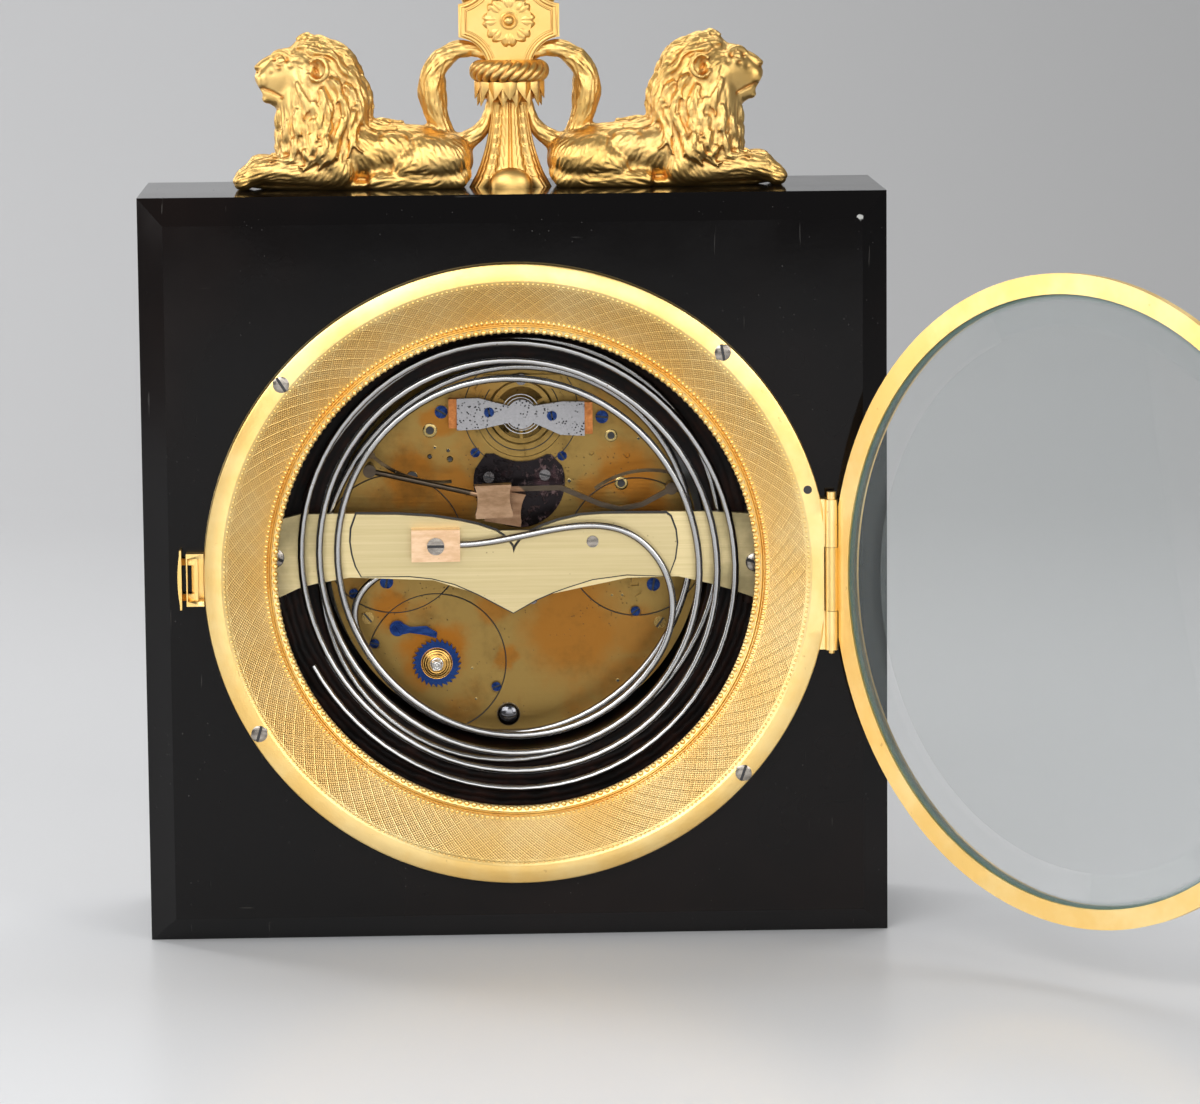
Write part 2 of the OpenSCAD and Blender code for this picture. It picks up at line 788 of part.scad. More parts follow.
balance_p = [1.9, 118.1];
barrel_p = [-18.5, 59.2];
strike_p = [28.6, 86];
side_bridge_p = [-28.2, 87.4];
centre_p = axis_p;
hammer_a_p = [-33.5, 106];
hammer_b_p = [36.5, 100.8];
pillar_p = [[-1.8, 46.8], [34, 68.1], [-34.5, 70.1], [-16.7, 118.4], [20.8, 116.8]];
pillar_head_r = [2.7, 1.4, 1.4, 1.5, 1.5];

// Teeth: barrel and intermediate pinion, intermediate wheel and centre pinion, and so on up
barrel_m = 0.4;
barrel_n = 58;
inter_pinion_n = 20;
inter_m = 0.3;
inter_n = 90;
centre_pinion_n = 18;
centre_m = 0.3;
centre_n = 64;
leaves = 8;
third_m = 0.28;
third_n = 60;
fourth_m = 0.26;
fourth_n = 64;
escape_r = 4.6;
staff_r = 0.45;
spare = 0.06;

function reach(n1, n2, m) = (n1 + n2) * m / 2 + spare;
inter_p = meet(barrel_p, reach(barrel_n, inter_pinion_n, barrel_m), centre_p,
               reach(inter_n, centre_pinion_n, inter_m), 1);
third_p = polar(centre_p, reach(centre_n, leaves, centre_m), 100);
fourth_p = polar(third_p, reach(third_n, leaves, third_m), 75);
escape_p = meet(fourth_p, reach(fourth_n, leaves, fourth_m), balance_p,
                escape_r + staff_r + 0.15, -1);

strike_m = 0.32;
strike_n = 78;
strike_leaves = 12;
pin_m = 0.29;
pin_n = 64;
warning_m = 0.26;
warning_n = 56;
pin_p = polar(strike_p, reach(strike_n, strike_leaves, strike_m), 120);
warning_p = polar(pin_p, reach(pin_n, leaves, pin_m), 60);
fly_p = polar(warning_p, reach(warning_n, leaves, warning_m), 176);

arbor_p = [
    barrel_p, inter_p, centre_p, third_p, fourth_p, escape_p, strike_p, pin_p, warning_p, fly_p
];
arbor_r = [1.5, 0.8, 1, 0.6, 0.5, 0.45, 1.5, 0.7, 0.6, 0.5];
running = 0.05;

module strip(a, b, w) {
    translate(a) rotate(heading(a, b)) translate([0, -w / 2]) square([norm(b - a), w]);
    translate(b) circle(w / 2);
}

module plate_blank(y0, y1) {
    difference() {
        bar(axis_p, plate_r, y0, y1);
        for (i = [0 : len(arbor_p) - 1])
            bar(arbor_p[i], arbor_r[i] + running, y0 - 1, y1 + 1);
        for (p = [hammer_a_p, hammer_b_p]) bar(p, 0.8 + running, y0 - 1, y1 + 1);
        for (p = pillar_p) bar(p, 1.05, y0 - 1, y1 + 1);
    }
}

seat_r = 10.6;
seat_lip = 0.8;
balance_hole_r = 7.65;
potence_end = polar(balance_p, 12, heading(balance_p, escape_p));

// Arm inside the rear plate that holds the escape wheel's pivot beside the balance
module potence() {
    slab(between_y - 0.01, between_y + 1.4) difference() {
        union() {
            translate(escape_p) circle(1.6);
            strip(escape_p, potence_end, 3.2);
        }
        translate(escape_p) circle(0.45 + running);
    }
}

module rear_plate() {
    color(brass) difference() {
        union() {
            plate_blank(rear_y, between_y);
            washer(balance_p, seat_r + seat_lip, seat_r, rear_y - 0.3, rear_y + 0.1);
        }
        bar(balance_p, seat_r, rear_y - 2, rear_y + 1);
        bar(balance_p, balance_hole_r, rear_y - 2, between_y + 1);
        for (p = [strike_p, side_bridge_p, barrel_p])
            bar(p, bridge_r, rear_y - 1, rear_y + bridge_t);
        for (p = concat(small_screw_p, bridge_screw_p))
            bar(p, small_shank_r + 0.02, rear_y - 1, rear_y + small_screw_in + 0.1);
    }
    color(brass) potence();
}

module front_plate() {
    color(brass) difference() {
        plate_blank(front_y, outer_y);
        bar(balance_p, staff_r + running, front_y - 1, outer_y + 1);
        bar(motion_p, 0.8, front_y - 1, outer_y + 1);
    }
}

module pillars() {
    color(brass) for (p = pillar_p)
        difference() {
            union() {
                bar(p, 1.75, between_y, front_y);
                bar(p, 2.2, between_y, between_y + 1.2);
                bar(p, 2.2, front_y - 1.2, front_y);
            }
            bar(p, 0.9, between_y - 1, front_y + 1);
        }
}

small_screw_p = [[-8.9, 108.7], [11.4, 107.7], [4.2, 73.9]];
bridge_screw_p = [[-33, 63.9], [-4.6, 53.3], [-37.7, 75.9], [28.3, 70.8]];
small_shank_r = 0.5;
small_screw_in = 1;
cock_screw_p = [[-5.6, 118.7], [9, 117.7]];
hammer_plate_screw_p = [[-5.8, 103], [7.3, 103.4]];
stop_disc_p = [[-30, 78.6], [32.5, 77.2]];
cock_y0 = -2.2;
cock_y1 = -0.9;
hammer_plate_y = 1.8;
stop_disc_y = rear_y - 0.8;
seat_bridge_y = rear_y - 1.2;

module plate_screws() {
    color(blued) {
        for (i = [0 : len(pillar_p) - 1]) {
            slotted_screw(pillar_p[i], pillar_head_r[i], 0.85, rear_y - 1, rear_y, front_y - 7.2,
                          pillar_p[i][0] * 9);
            front_side() slotted_screw(pillar_p[i], 1.5, 0.85, -outer_y - 0.8, -outer_y,
                                       -outer_y + 6, pillar_p[i][1]);
        }
        for (p = concat(small_screw_p, bridge_screw_p))
            slotted_screw(p, 1.1, small_shank_r, rear_y - 0.6, rear_y, rear_y + small_screw_in,
                          p[0] * 5);
        for (p = cock_screw_p)
            slotted_screw(p, 1.15, 0.5, cock_y0 - 0.3, cock_y0, cock_y1, 80);
        for (p = hammer_plate_screw_p)
            slotted_screw(p, 1.3, 0.5, hammer_plate_y - 0.6, hammer_plate_y, rear_y, 15);
        for (p = stop_disc_p)
            slotted_screw(p, 1.55, 0.5, stop_disc_y - 0.7, stop_disc_y, rear_y, 100);
        slotted_screw([2, 125.9], 1.3, 0.5, seat_bridge_y - 0.8, seat_bridge_y,
                      seat_bridge_y + 0.9, 30);
    }
}

// Round bridges let into the rear plate over the barrels, and a flat one over the balance seat
bridge_r = 16.2;
bridge_t = 0.6;

module bridge(p, bore) {
    difference() {
        intersection() {
            washer(p, bridge_r - 0.12, bore, rear_y, rear_y + bridge_t);
            bar(axis_p, plate_r, rear_y - 1, rear_y + 2);
        }
        for (q = concat(pillar_p, bridge_screw_p)) bar(q, 1.5, rear_y - 1, rear_y + 2);
        for (q = [hammer_a_p, hammer_b_p]) bar(q, 1, rear_y - 1, rear_y + 2);
    }
}

module barrel_bridges() {
    color(brass) {
        bridge(barrel_p, 1.7);
        bridge(strike_p, 1.7);
        bridge(side_bridge_p, 1);
        difference() {
            slab(seat_bridge_y, seat_bridge_y + 0.9)
                polygon([
                    [-8.8, 123.6], [-7.5, 125.4], [-6.4, 126.9], [10.9, 126.9],
                    [11.6, 125.1], [12.4, 123.6]
                ]);
            bar(balance_p, balance_hole_r, rear_y - 2, rear_y + 1);
            bar([2, 125.9], 0.52, rear_y - 2, rear_y + 1);
        }
        stop_disc(stop_disc_p[0], []);
        stop_disc(stop_disc_p[1], [150, 180, 210]);
    }
}

// Round stop on a bridge, with slots at the given angles
module stop_disc(p, slots) {
    slab(stop_disc_y, rear_y) difference() {
        translate(p) circle(5.2);
        translate(p) circle(0.52);
        for (a = slots) translate(p) rotate(a) translate([3.4, -0.4]) square([3, 0.8]);
        translate(axis_p) difference() {
            circle(plate_r + 10);
            circle(plate_r);
        }
    }
}

// Dark steel plate behind the hammer heads
module hammer_plate() {
    color([0.12, 0.10, 0.10]) difference() {
        slab(hammer_plate_y, rear_y) intersection() {
            translate([1.3, 101.8]) circle(10.7);
            polygon([[-9.6, 90], [-9.6, 104], [-6.4, 108.6], [8.8, 108.2], [12.2, 104.6], [12.2, 90]]);
        }
        bar(balance_p, seat_r + seat_lip + 0.1, hammer_plate_y - 1, rear_y + 1);
        for (p = hammer_plate_screw_p) bar(p, 0.52, hammer_plate_y - 1, rear_y + 1);
    }
}

// Going train, from the barrel up to the balance

module plate_arbor(p, r) {
    bar(p, r, rear_y + 0.7, outer_y - 0.3);
}

barrel_wheel_y = between_y + 1.2;
drum_y = between_y + 2.6;
drum_top = between_y + 8.6;

module spring_drum(p, n, m, a, drum_r, bore) {
    difference() {
        union() {
            wheel(p, n, m, a, barrel_wheel_y, drum_y);
            bar(p, drum_r, drum_y - 0.1, drum_top);
            bar(p, 3, drum_top - 0.1, drum_top + 0.6);
        }
        bar(p, bore, between_y, drum_top + 1);
    }
}

module barrel() {
    color(brass)
        spring_drum(barrel_p, barrel_n, barrel_m, heading(barrel_p, inter_p), 10.6, 1.55);
}

ratchet_y = rear_y - 1.6;
ratchet_n = 28;
ratchet_r = 5.8;
square_w = 2;

module winding_arbor() {
    color(steel) {
        bar(barrel_p, 1.5, ratchet_y - 1, outer_y - 0.3);
        slab(ratchet_y - 4, ratchet_y - 0.9) translate(barrel_p) rotate(8)
            square(square_w, center = true);
        slab(ratchet_y, ratchet_y + 1.4) translate(barrel_p) polygon([
            for (i = [0 : ratchet_n - 1])
                for (k = [[0, ratchet_r], [0.12, ratchet_r - 0.9]])
                    polar([0, 0], k[1], (i + k[0]) * 360 / ratchet_n)
        ]);
        turned(barrel_p, ratchet_y) polygon([[1.2, 0], [3.6, 0], [3.3, 0.6], [2.2, 1.1], [1.2, 1.2]]);
    }
}

click_p = [-27.6, 67.6];

// The click rides on the tips of the ratchet teeth
module click() {
    color(blued) {
        slab(ratchet_y, ratchet_y + 1.3) {
            translate(click_p) circle(1.85);
            polygon([
                [-27.2, 69.3], [-24.6, 67.9], [-20.8, 68.1], [-18.3, 66.5], [-18.5, 65.15],
                [-21, 65.9], [-24.6, 66.5], [-27.2, 66]
            ]);
        }
        slotted_screw(click_p, 1.2, 0.6, ratchet_y - 0.6, ratchet_y, rear_y - 0.05, 60);
    }
}

module intermediate_wheel() {
    a_out = heading(inter_p, centre_p);
    color(brass) {
        plate_arbor(inter_p, 0.8);
        pinion(inter_p, inter_pinion_n, barrel_m, heading(inter_p, barrel_p),
               between_y + 0.9, between_y + 3);
        bar(inter_p, 2, between_y + 2.9, between_y + 9.7);
        spoked_wheel(inter_p, inter_n, inter_m, a_out, between_y + 9.6, between_y + 10.8, 5, 3);
    }
}

cannon_n = 12;
minute_wheel_n = 36;
minute_pinion_n = 10;
hour_wheel_n = 40;
cannon_m = 0.4;
hour_m = 0.384;
motion_p = polar(centre_p, reach(cannon_n, minute_wheel_n, cannon_m), -60);
pipe_end_y = outer_y + 7.7;
hand_end_y = outer_y + 9.2;

module centre_arbor() {
    color(steel) {
        bar(centre_p, 1, rear_y + 0.7, hand_end_y);
        pinion(centre_p, centre_pinion_n, inter_m, heading(centre_p, inter_p),
               between_y + 9.2, between_y + 11.2);
        spoked_wheel(centre_p, centre_n, centre_m, heading(centre_p, third_p),
                     between_y + 4.6, between_y + 5.6, 4, 2.4);
        pinion(centre_p, cannon_n, cannon_m, heading(centre_p, motion_p),
               outer_y + 0.6, outer_y + 2.1);
        bar(centre_p, 1.5, outer_y + 2, pipe_end_y);
    }
}

module third_wheel() {
    color(brass) {
        plate_arbor(third_p, 0.6);
        pinion(third_p, leaves, centre_m, heading(third_p, centre_p), between_y + 4, between_y + 6.2);
        spoked_wheel(third_p, third_n, third_m, heading(third_p, fourth_p),
                     between_y + 8, between_y + 8.8, 4, 1.6);
    }
}

module fourth_wheel() {
    color(brass) {
        plate_arbor(fourth_p, 0.5);
        pinion(fourth_p, leaves, third_m, heading(fourth_p, third_p),
               between_y + 7.4, between_y + 9.4);
        spoked_wheel(fourth_p, fourth_n, fourth_m, heading(fourth_p, escape_p),
                     between_y + 2.6, between_y + 3.4, 4, 1.5);
    }
}

escape_n = 15;

module escape_wheel() {
    color(brass) {
        bar(escape_p, 0.45, between_y + 0.3, outer_y - 0.3);
        pinion(escape_p, leaves, fourth_m, heading(escape_p, fourth_p), between_y + 2, between_y + 4);
        slab(between_y + 5, between_y + 5.6) translate(escape_p) difference() {
            polygon([
                for (i = [0 : escape_n - 1])
                    for (k = [[0, escape_r], [0.35, escape_r - 0.25], [0.4, escape_r - 1.2]])
                        polar([0, 0], k[1], (i + k[0]) * 360 / escape_n)
            ]);
            difference() {
                circle(2.7);
                circle(1.1);
                for (a = [0, 60, 120]) rotate(a) square([6, 0.8], center = true);
            }
        }
    }
}

balance_y = 2;

module balance() {
    color(brass) {
        washer(balance_p, balance_r, balance_r - 1.1, balance_y, balance_y + 0.9);
        slab(balance_y + 0.2, balance_y + 0.7) translate(balance_p) {
            circle(1.2);
            for (a = [30, 150, 270]) rotate(a) translate([0, -0.4]) square([balance_r - 0.9, 0.8]);
        }
        bar(balance_p, staff_r, cock_y0 + 0.5, outer_y - 0.3);
    }
}

// Flat spiral strip from beside the staff out to the stud under the cock
spring_turns = 5;
spring_in = 1.1;
spring_out = 4.9;
strip_t = 0.18;
hairspring_y = 0.5;

module hairspring() {
    steps = 24 * spring_turns;
    edge = [
        for (i = [0 : steps])
            [spring_in + (spring_out - spring_in) * i / steps, i * 360 * spring_turns / steps]
    ];
    color(steel) {
        slab(hairspring_y, hairspring_y + 0.6) translate(balance_p) polygon(concat(
            [for (e = edge) polar([0, 0], e[0], e[1])],
            [for (i = [steps : -1 : 0]) polar([0, 0], edge[i][0] + strip_t, edge[i][1])]
        ));
        slab(cock_y1, hairspring_y + 0.6) translate(balance_p + [spring_out + 0.5, 0])
            square([1, 1], center = true);
    }
}

module balance_cock() {
    c = balance_p;
    color(steel) difference() {
        union() {
            slab(cock_y0, cock_y1) polygon([
                [-13.1, 121.9], [-8, 122], c + [-2.6, 1.9], c + [2.6, 1.9], [11.5, 121],
                [16.6, 120.9], [16.6, 112.9], [11, 113.2], c + [2.6, -1.9], c + [-2.6, -1.9],
                [-8, 114.7], [-13.1, 114.5]
            ]);
            bar(c, 3.4, cock_y0 - 0.1, cock_y1);
        }
        bar(c, staff_r + running, cock_y0 + 0.4, cock_y1 + 1);
        for (p = cock_screw_p) bar(p, 0.52, cock_y0 - 1, cock_y1 + 1);
    }
}

module cock_feet() {
    color([0.72, 0.42, 0.20]) slab(cock_y1, rear_y) {
        translate([-15, 114.9]) square([3, 6.8]);
        translate([15.4, 113.2]) square([3.1, 7.4]);
    }
}

// Split ring that turns in the seat round the balance
module regulator_ring() {
    color(brass) slab(rear_y + 0.1, rear_y + 0.9) translate(balance_p) difference() {
        circle(seat_r - 0.1);
        circle(balance_hole_r + 0.1);
        rotate(-85) translate([5, -0.15]) square([6, 0.3]);
    }
}

// Striking train

module strike_barrel() {
    color(brass) {
        spring_drum(strike_p, strike_n, strike_m, heading(strike_p, pin_p), 11.4, 1.4);
        bar(strike_p, 1.5, rear_y - 0.6, outer_y - 0.3);
    }
}

lift_pins = 8;
lift_pin_r = 8;

module pin_wheel() {
    color(brass) {
        plate_arbor(pin_p, 0.7);
        pinion(pin_p, strike_leaves, strike_m, heading(pin_p, strike_p),
               between_y + 0.9, between_y + 3);
        spoked_wheel(pin_p, pin_n, pin_m, heading(pin_p, warning_p),
                     between_y + 10, between_y + 10.9, 4, 2);
        for (i = [0 : lift_pins - 1])
            bar(polar(pin_p, lift_pin_r, i * 360 / lift_pins), 0.35, between_y + 10.5, between_y + 12.2);
    }
}

module warning_wheel() {
    color(brass) {
        plate_arbor(warning_p, 0.6);
        pinion(warning_p, leaves, pin_m, heading(warning_p, pin_p), between_y + 9.4, between_y + 11.4);
        spoked_wheel(warning_p, warning_n, warning_m, heading(warning_p, fly_p),
                     between_y + 3, between_y + 3.8, 4, 1.5);
    }
}

module fly() {
    color(brass) {
        plate_arbor(fly_p, 0.5);
        pinion(fly_p, leaves, warning_m, heading(fly_p, warning_p), between_y + 2.4, between_y + 4.4);
        slab(between_y + 5, between_y + 9.5) translate(fly_p) square([8, 0.5], center = true);
    }
}

// Hammers: an arbor through both plates, a stem and a waisted head

module hammer_head(c, turn, y0, y1) {
    slab(y0, y1) translate(c) rotate(turn) difference() {
        square([8.6, 7.6], center = true);
        for (side = [-1, 1]) translate([side * 12.9, 0.6]) circle(9.2);
    }
}

head_a = [-4.9, 99.5];
head_a_y0 = -16.2;
head_a_y1 = -12.4;
stem_a_end = [-8, -14.2, 100.9];
stem_a_root = [hammer_a_p[0], -8, hammer_a_p[1]];

module hammer_a() {
    run = stem_a_end - stem_a_root;
    color([0.70, 0.55, 0.34]) {
        bar(hammer_a_p, 0.8, stem_a_root[1] - 1, outer_y - 0.3);
        bar(hammer_a_p, 1.5, stem_a_root[1] - 1.1, stem_a_root[1] + 1.1);
        translate(stem_a_root) rotate([0, acos(run[2] / norm(run)), atan2(run[1], run[0])])
            cylinder(h = norm(run), r = 0.65);
        hammer_head(head_a, 2, head_a_y0, head_a_y1);
        slab(between_y + 11.3, between_y + 12.2) strip(hammer_a_p, hammer_a_p + [5.4, -2.4], 1.6);
    }
}

head_b = [-2.2, 97];
stem_b_y0 = -6.8;
stem_b_y1 = -5.6;
stem_b_p = [hammer_b_p, [29.6, 97.2], [24.5, 96.2], [20, 97.4], [10.7, 101.4], [-1.6, 101.2]];

module hammer_b() {
    color([0.55, 0.38, 0.24]) {
        bar(hammer_b_p, 0.8, stem_b_y0, outer_y - 0.3);
        bar(hammer_b_p, 1.4, stem_b_y0, stem_b_y1 + 1);
        slab(stem_b_y0, stem_b_y1) {
            for (i = [0 : len(stem_b_p) - 2]) strip(stem_b_p[i], stem_b_p[i + 1], 1.2);
            strip([-1.6, 101.2], [-2, 99], 1.2);
        }
        hammer_head(head_b, -10, -8.2, -4.2);
        slab(between_y + 11.3, between_y + 12.2) strip(hammer_b_p, hammer_b_p + [-5.6, -0.9], 1.6);
    }
}

// Bowed wire between two points, rising by the given height in the middle
module bow(a, b, rise, w) {
    half = norm(b - a) / 2;
    r = (half * half + rise * rise) / (2 * rise);
    span = asin(half / r);
    steps = 12;
    translate((a + b) / 2) rotate(heading(a, b)) translate([0, rise - r]) polygon(concat(
        [for (i = [0 : steps]) polar([0, 0], r + w / 2, 90 - span + 2 * span * i / steps)],
        [for (i = [steps : -1 : 0]) polar([0, 0], r - w / 2, 90 - span + 2 * span * i / steps)]
    ));
}

spring_a_post = [-33, 109.4];
spring_b_post = [37.2, 104.1];

module hammer_springs() {
    color(steel) {
        slab(-5.4, -4.4) bow(spring_a_post, [-14.5, 103], -2.2, 0.8);
        slab(-4.4, -3.4) bow([18.8, 100.8], spring_b_post, 2.2, 0.8);
        bar(spring_a_post, 0.8, -5.8, rear_y);
        bar(spring_b_post, 0.8, -4.8, rear_y);
    }
}

// Motion work, hands and dial

module motion_wheel() {
    color(brass) {
        bar(motion_p, 0.75, front_y + 0.3, outer_y + 4);
        wheel(motion_p, minute_wheel_n, cannon_m, heading(motion_p, centre_p),
              outer_y + 0.8, outer_y + 2);
        pinion(motion_p, minute_pinion_n, hour_m, heading(motion_p, centre_p),
               outer_y + 2, outer_y + 3.8);
    }
}

hour_hand_y = outer_y + 6.6;
minute_hand_y = outer_y + 7.9;

module hour_wheel() {
    color(brass) difference() {
        union() {
            wheel(centre_p, hour_wheel_n, hour_m, heading(centre_p, motion_p),
                  outer_y + 2.5, outer_y + 3.5);
            bar(centre_p, 2.3, outer_y + 3, hour_hand_y + 0.5);
        }
        bar(centre_p, 1.56, outer_y, hour_hand_y + 2);
    }
}

// Hand with a ring near its tip
module hand(length, ring_at, eye_r, w) {
    difference() {
        union() {
            polygon([[0, -w], [ring_at, -w * 0.6], [ring_at, w * 0.6], [0, w]]);
            translate([ring_at, 0]) circle(eye_r);
            polygon([[ring_at + eye_r - 0.2, -0.7], [length, 0], [ring_at + eye_r - 0.2, 0.7]]);
            circle(2 * w + 1.4);
        }
        translate([ring_at, 0]) circle(eye_r - 0.8);
    }
}

hour_angle = 35;
minute_angle = 150;

module hour_hand() {
    color(blued) slab(hour_hand_y, hour_hand_y + 0.6) translate(centre_p) rotate(hour_angle)
        difference() {
            hand(28, 21, 2.5, 0.8);
            circle(2.32);
        }
}

module minute_hand() {
    color(blued) {
        slab(minute_hand_y, minute_hand_y + 0.6) translate(centre_p) rotate(minute_angle)
            difference() {
                hand(43, 34, 2.5, 0.6);
                circle(1.02);
            }
        washer(centre_p, 1.7, 1.02, minute_hand_y + 0.6, minute_hand_y + 1.1);
    }
}

dial_y = 25.2;
dial_r = 56.5;
dial_feet_r = 38;

module dial() {
    color([0.95, 0.94, 0.9]) {
        washer(axis_p, dial_r, 3, dial_y, dial_y + 1.3);
        for (a = [75, 190, 320]) bar(polar(axis_p, dial_feet_r, a), 1.3, outer_y, dial_y + 0.1);
    }
}

case_top();
case_base();
case_sides();
rear_board();
front_board();
movement_well();
lion_left();
lion_right();
ornament_shaft();
rope_collar();
rosette_plaque();
carrying_ring();
ornament_nuts();
rear_bezel();
front_bezel();
wood_screws();
rear_door_ring();
rear_door_glass();
front_door_ring();
front_door_glass();
hinge_pins();
catch_block();
catch_button();
gong_strap();
gong_plate();
gong_blocks();
gong_screws();
gong_a();
gong_b();
rear_plate();
front_plate();
pillars();
plate_screws();
barrel_bridges();
hammer_plate();
barrel();
winding_arbor();
click();
intermediate_wheel();
centre_arbor();
third_wheel();
fourth_wheel();
escape_wheel();
balance();
hairspring();
balance_cock();
cock_feet();
regulator_ring();
strike_barrel();
pin_wheel();
warning_wheel();
fly();
hammer_a();
hammer_b();
hammer_springs();
motion_wheel();
hour_wheel();
hour_hand();
minute_hand();
dial();
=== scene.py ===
"""Looks of a travel clock: gilt lions and bezels, lacquered case, wire gongs and an open movement.

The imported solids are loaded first. Each operator below adds or finishes one group of pieces.
"""

import math
import random
import bmesh
import bpy
from bpy.props import FloatProperty, FloatVectorProperty, IntProperty, PointerProperty
from mathutils import Matrix, Vector
from mathutils.bvhtree import BVHTree
from mathutils.kdtree import KDTree


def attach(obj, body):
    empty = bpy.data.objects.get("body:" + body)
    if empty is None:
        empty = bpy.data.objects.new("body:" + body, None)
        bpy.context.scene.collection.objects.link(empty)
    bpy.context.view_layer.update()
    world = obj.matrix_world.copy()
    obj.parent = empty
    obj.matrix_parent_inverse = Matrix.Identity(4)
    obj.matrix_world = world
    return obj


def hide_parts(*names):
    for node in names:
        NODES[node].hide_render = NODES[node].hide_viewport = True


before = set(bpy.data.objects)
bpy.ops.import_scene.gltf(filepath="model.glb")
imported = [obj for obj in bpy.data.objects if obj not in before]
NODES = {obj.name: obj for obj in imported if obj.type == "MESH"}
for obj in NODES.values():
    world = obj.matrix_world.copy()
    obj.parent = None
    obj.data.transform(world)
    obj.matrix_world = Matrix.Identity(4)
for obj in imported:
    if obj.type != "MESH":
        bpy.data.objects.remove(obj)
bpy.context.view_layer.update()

bl_info = {
    "name": "Travel clock",
    "version": (1, 0, 0),
    "blender": (4, 5, 0),
    "location": "View3D > Sidebar > Clock",
    "description": "Adds the finishes and fine pieces of a travel clock",
    "category": "Object",
}

MM = 0.001
TAU = 2 * math.pi

# Millimetres: middle of the dials, top and half depth of the case, middle of the rope collar,
# rim of the crown, middle of the plaque, and how far back the rear plate's face is
DIAL = Vector((0, 0, 85))
TOP = 171.0
FACE = 32.5
COLLAR = TOP + 26.7
CROWN = TOP + 24.1
PLAQUE = TOP + 38.3
PLATE_Y = 2.99


# Shader maths


class Value:
    """A number or colour in a material. Arithmetic on it adds the nodes."""

    def __init__(self, shade, socket):
        self.shade, self.socket = shade, socket

    def __add__(self, other):
        return self.shade.math("ADD", self, other)

    def __sub__(self, other):
        return self.shade.math("SUBTRACT", self, other)

    def __rsub__(self, other):
        return self.shade.math("SUBTRACT", other, self)

    def __mul__(self, other):
        return self.shade.math("MULTIPLY", self, other)

    def __truediv__(self, other):
        return self.shade.math("DIVIDE", self, other)

    def __pow__(self, other):
        return self.shade.math("POWER", self, other)

    def wave(self):
        """Sine of a full turn for each whole number."""
        return self.shade.math("SINE", self * TAU)

    def fract(self):
        return self.shade.math("FRACT", self)

    def size(self):
        return self.shade.math("ABSOLUTE", self)

    def step(self, low, high):
        """0 below low, 1 above high and smooth between. Low may be the larger one."""
        return self.shade.value(
            "MapRange",
            {"Value": self, "From Min": low, "From Max": high},
            interpolation_type="SMOOTHSTEP",
        )


class Shade:
    """A material with one Principled shader, and what feeds it."""

    def __init__(self, name):
        self.material = bpy.data.materials.new(name)
        self.material.use_nodes = True
        self.tree = self.material.node_tree
        self.tree.nodes.clear()
        self.out = self.tree.nodes.new("ShaderNodeOutputMaterial")
        self.surface = self.tree.nodes.new("ShaderNodeBsdfPrincipled")
        self.tree.links.new(self.surface.outputs[0], self.out.inputs["Surface"])
        self.place = self.value("TexCoord", {}, output="Object")
        split = self.node("SeparateXYZ", {"Vector": self.place})
        self.x, self.y, self.z = (Value(self, split.outputs[i]) for i in range(3))

    def node(self, kind, sockets, **settings):
        node = self.tree.nodes.new("ShaderNode" + kind)
        for key, setting in settings.items():
            setattr(node, key, setting)
        for key, value in sockets.items():
            self.feed(node.inputs[key], value)
        return node

    def feed(self, socket, value):
        if isinstance(value, Value):
            self.tree.links.new(value.socket, socket)
        elif isinstance(value, tuple) and len(value) == 3 and len(socket.default_value) == 4:
            socket.default_value = (*value, 1)
        else:
            socket.default_value = value

    def value(self, kind, sockets, output=0, **settings):
        return Value(self, self.node(kind, sockets, **settings).outputs[output])

    def math(self, operation, *values):
        return self.value("Math", dict(enumerate(values)), operation=operation)

    def both(self, a, b):
        return self.math("MAXIMUM", a, b)

    def mix(self, share, a, b):
        return self.value("Mix", {0: share, 6: a, 7: b}, output=2, data_type="RGBA")

    def stretched(self, x, y, z):
        """The object's coordinates, scaled along each axis."""
        return self.value("Mapping", {"Vector": self.place, "Scale": (x, y, z)})

    def noise(self, scale, detail=3.0, rough=0.5, at=None):
        """Cloudy value from 0 to 1, scale times a metre."""
        sockets = {"Vector": at or self.place, "Scale": scale, "Detail": detail, "Roughness": rough}
        return self.value("TexNoise", sockets)

    def cells(self, scale):
        """Distance from the nearest of many scattered points, scale times a metre."""
        return self.value("TexVoronoi", {"Vector": self.place, "Scale": scale})

    def bump(self, height, distance, strength):
        sockets = {"Height": height, "Distance": distance, "Strength": strength}
        return self.value("Bump", sockets)

    def far(self, x, y, z):
        """Distance from a point given in millimetres."""
        sockets = {0: self.place, 1: (x * MM, y * MM, z * MM)}
        return self.value("VectorMath", sockets, output="Value", operation="DISTANCE")

    def from_axis(self, x, z):
        """Distance from the line along Y through x and z, in millimetres."""
        return ((self.x - x * MM) ** 2 + (self.z - z * MM) ** 2) ** 0.5

    def done(self, **sockets):
        """Feeds the shader, with _ for a space in a socket's name."""
        for key, value in sockets.items():
            self.feed(self.surface.inputs[key.replace("_", " ")], value)
        return self.material


FINISHES = {}


def finish(name):
    """The finish of that name, made when it is first asked for."""
    if name not in FINISHES:
        FINISHES[name] = MAKERS[name]("clock_" + name)
    return FINISHES[name]


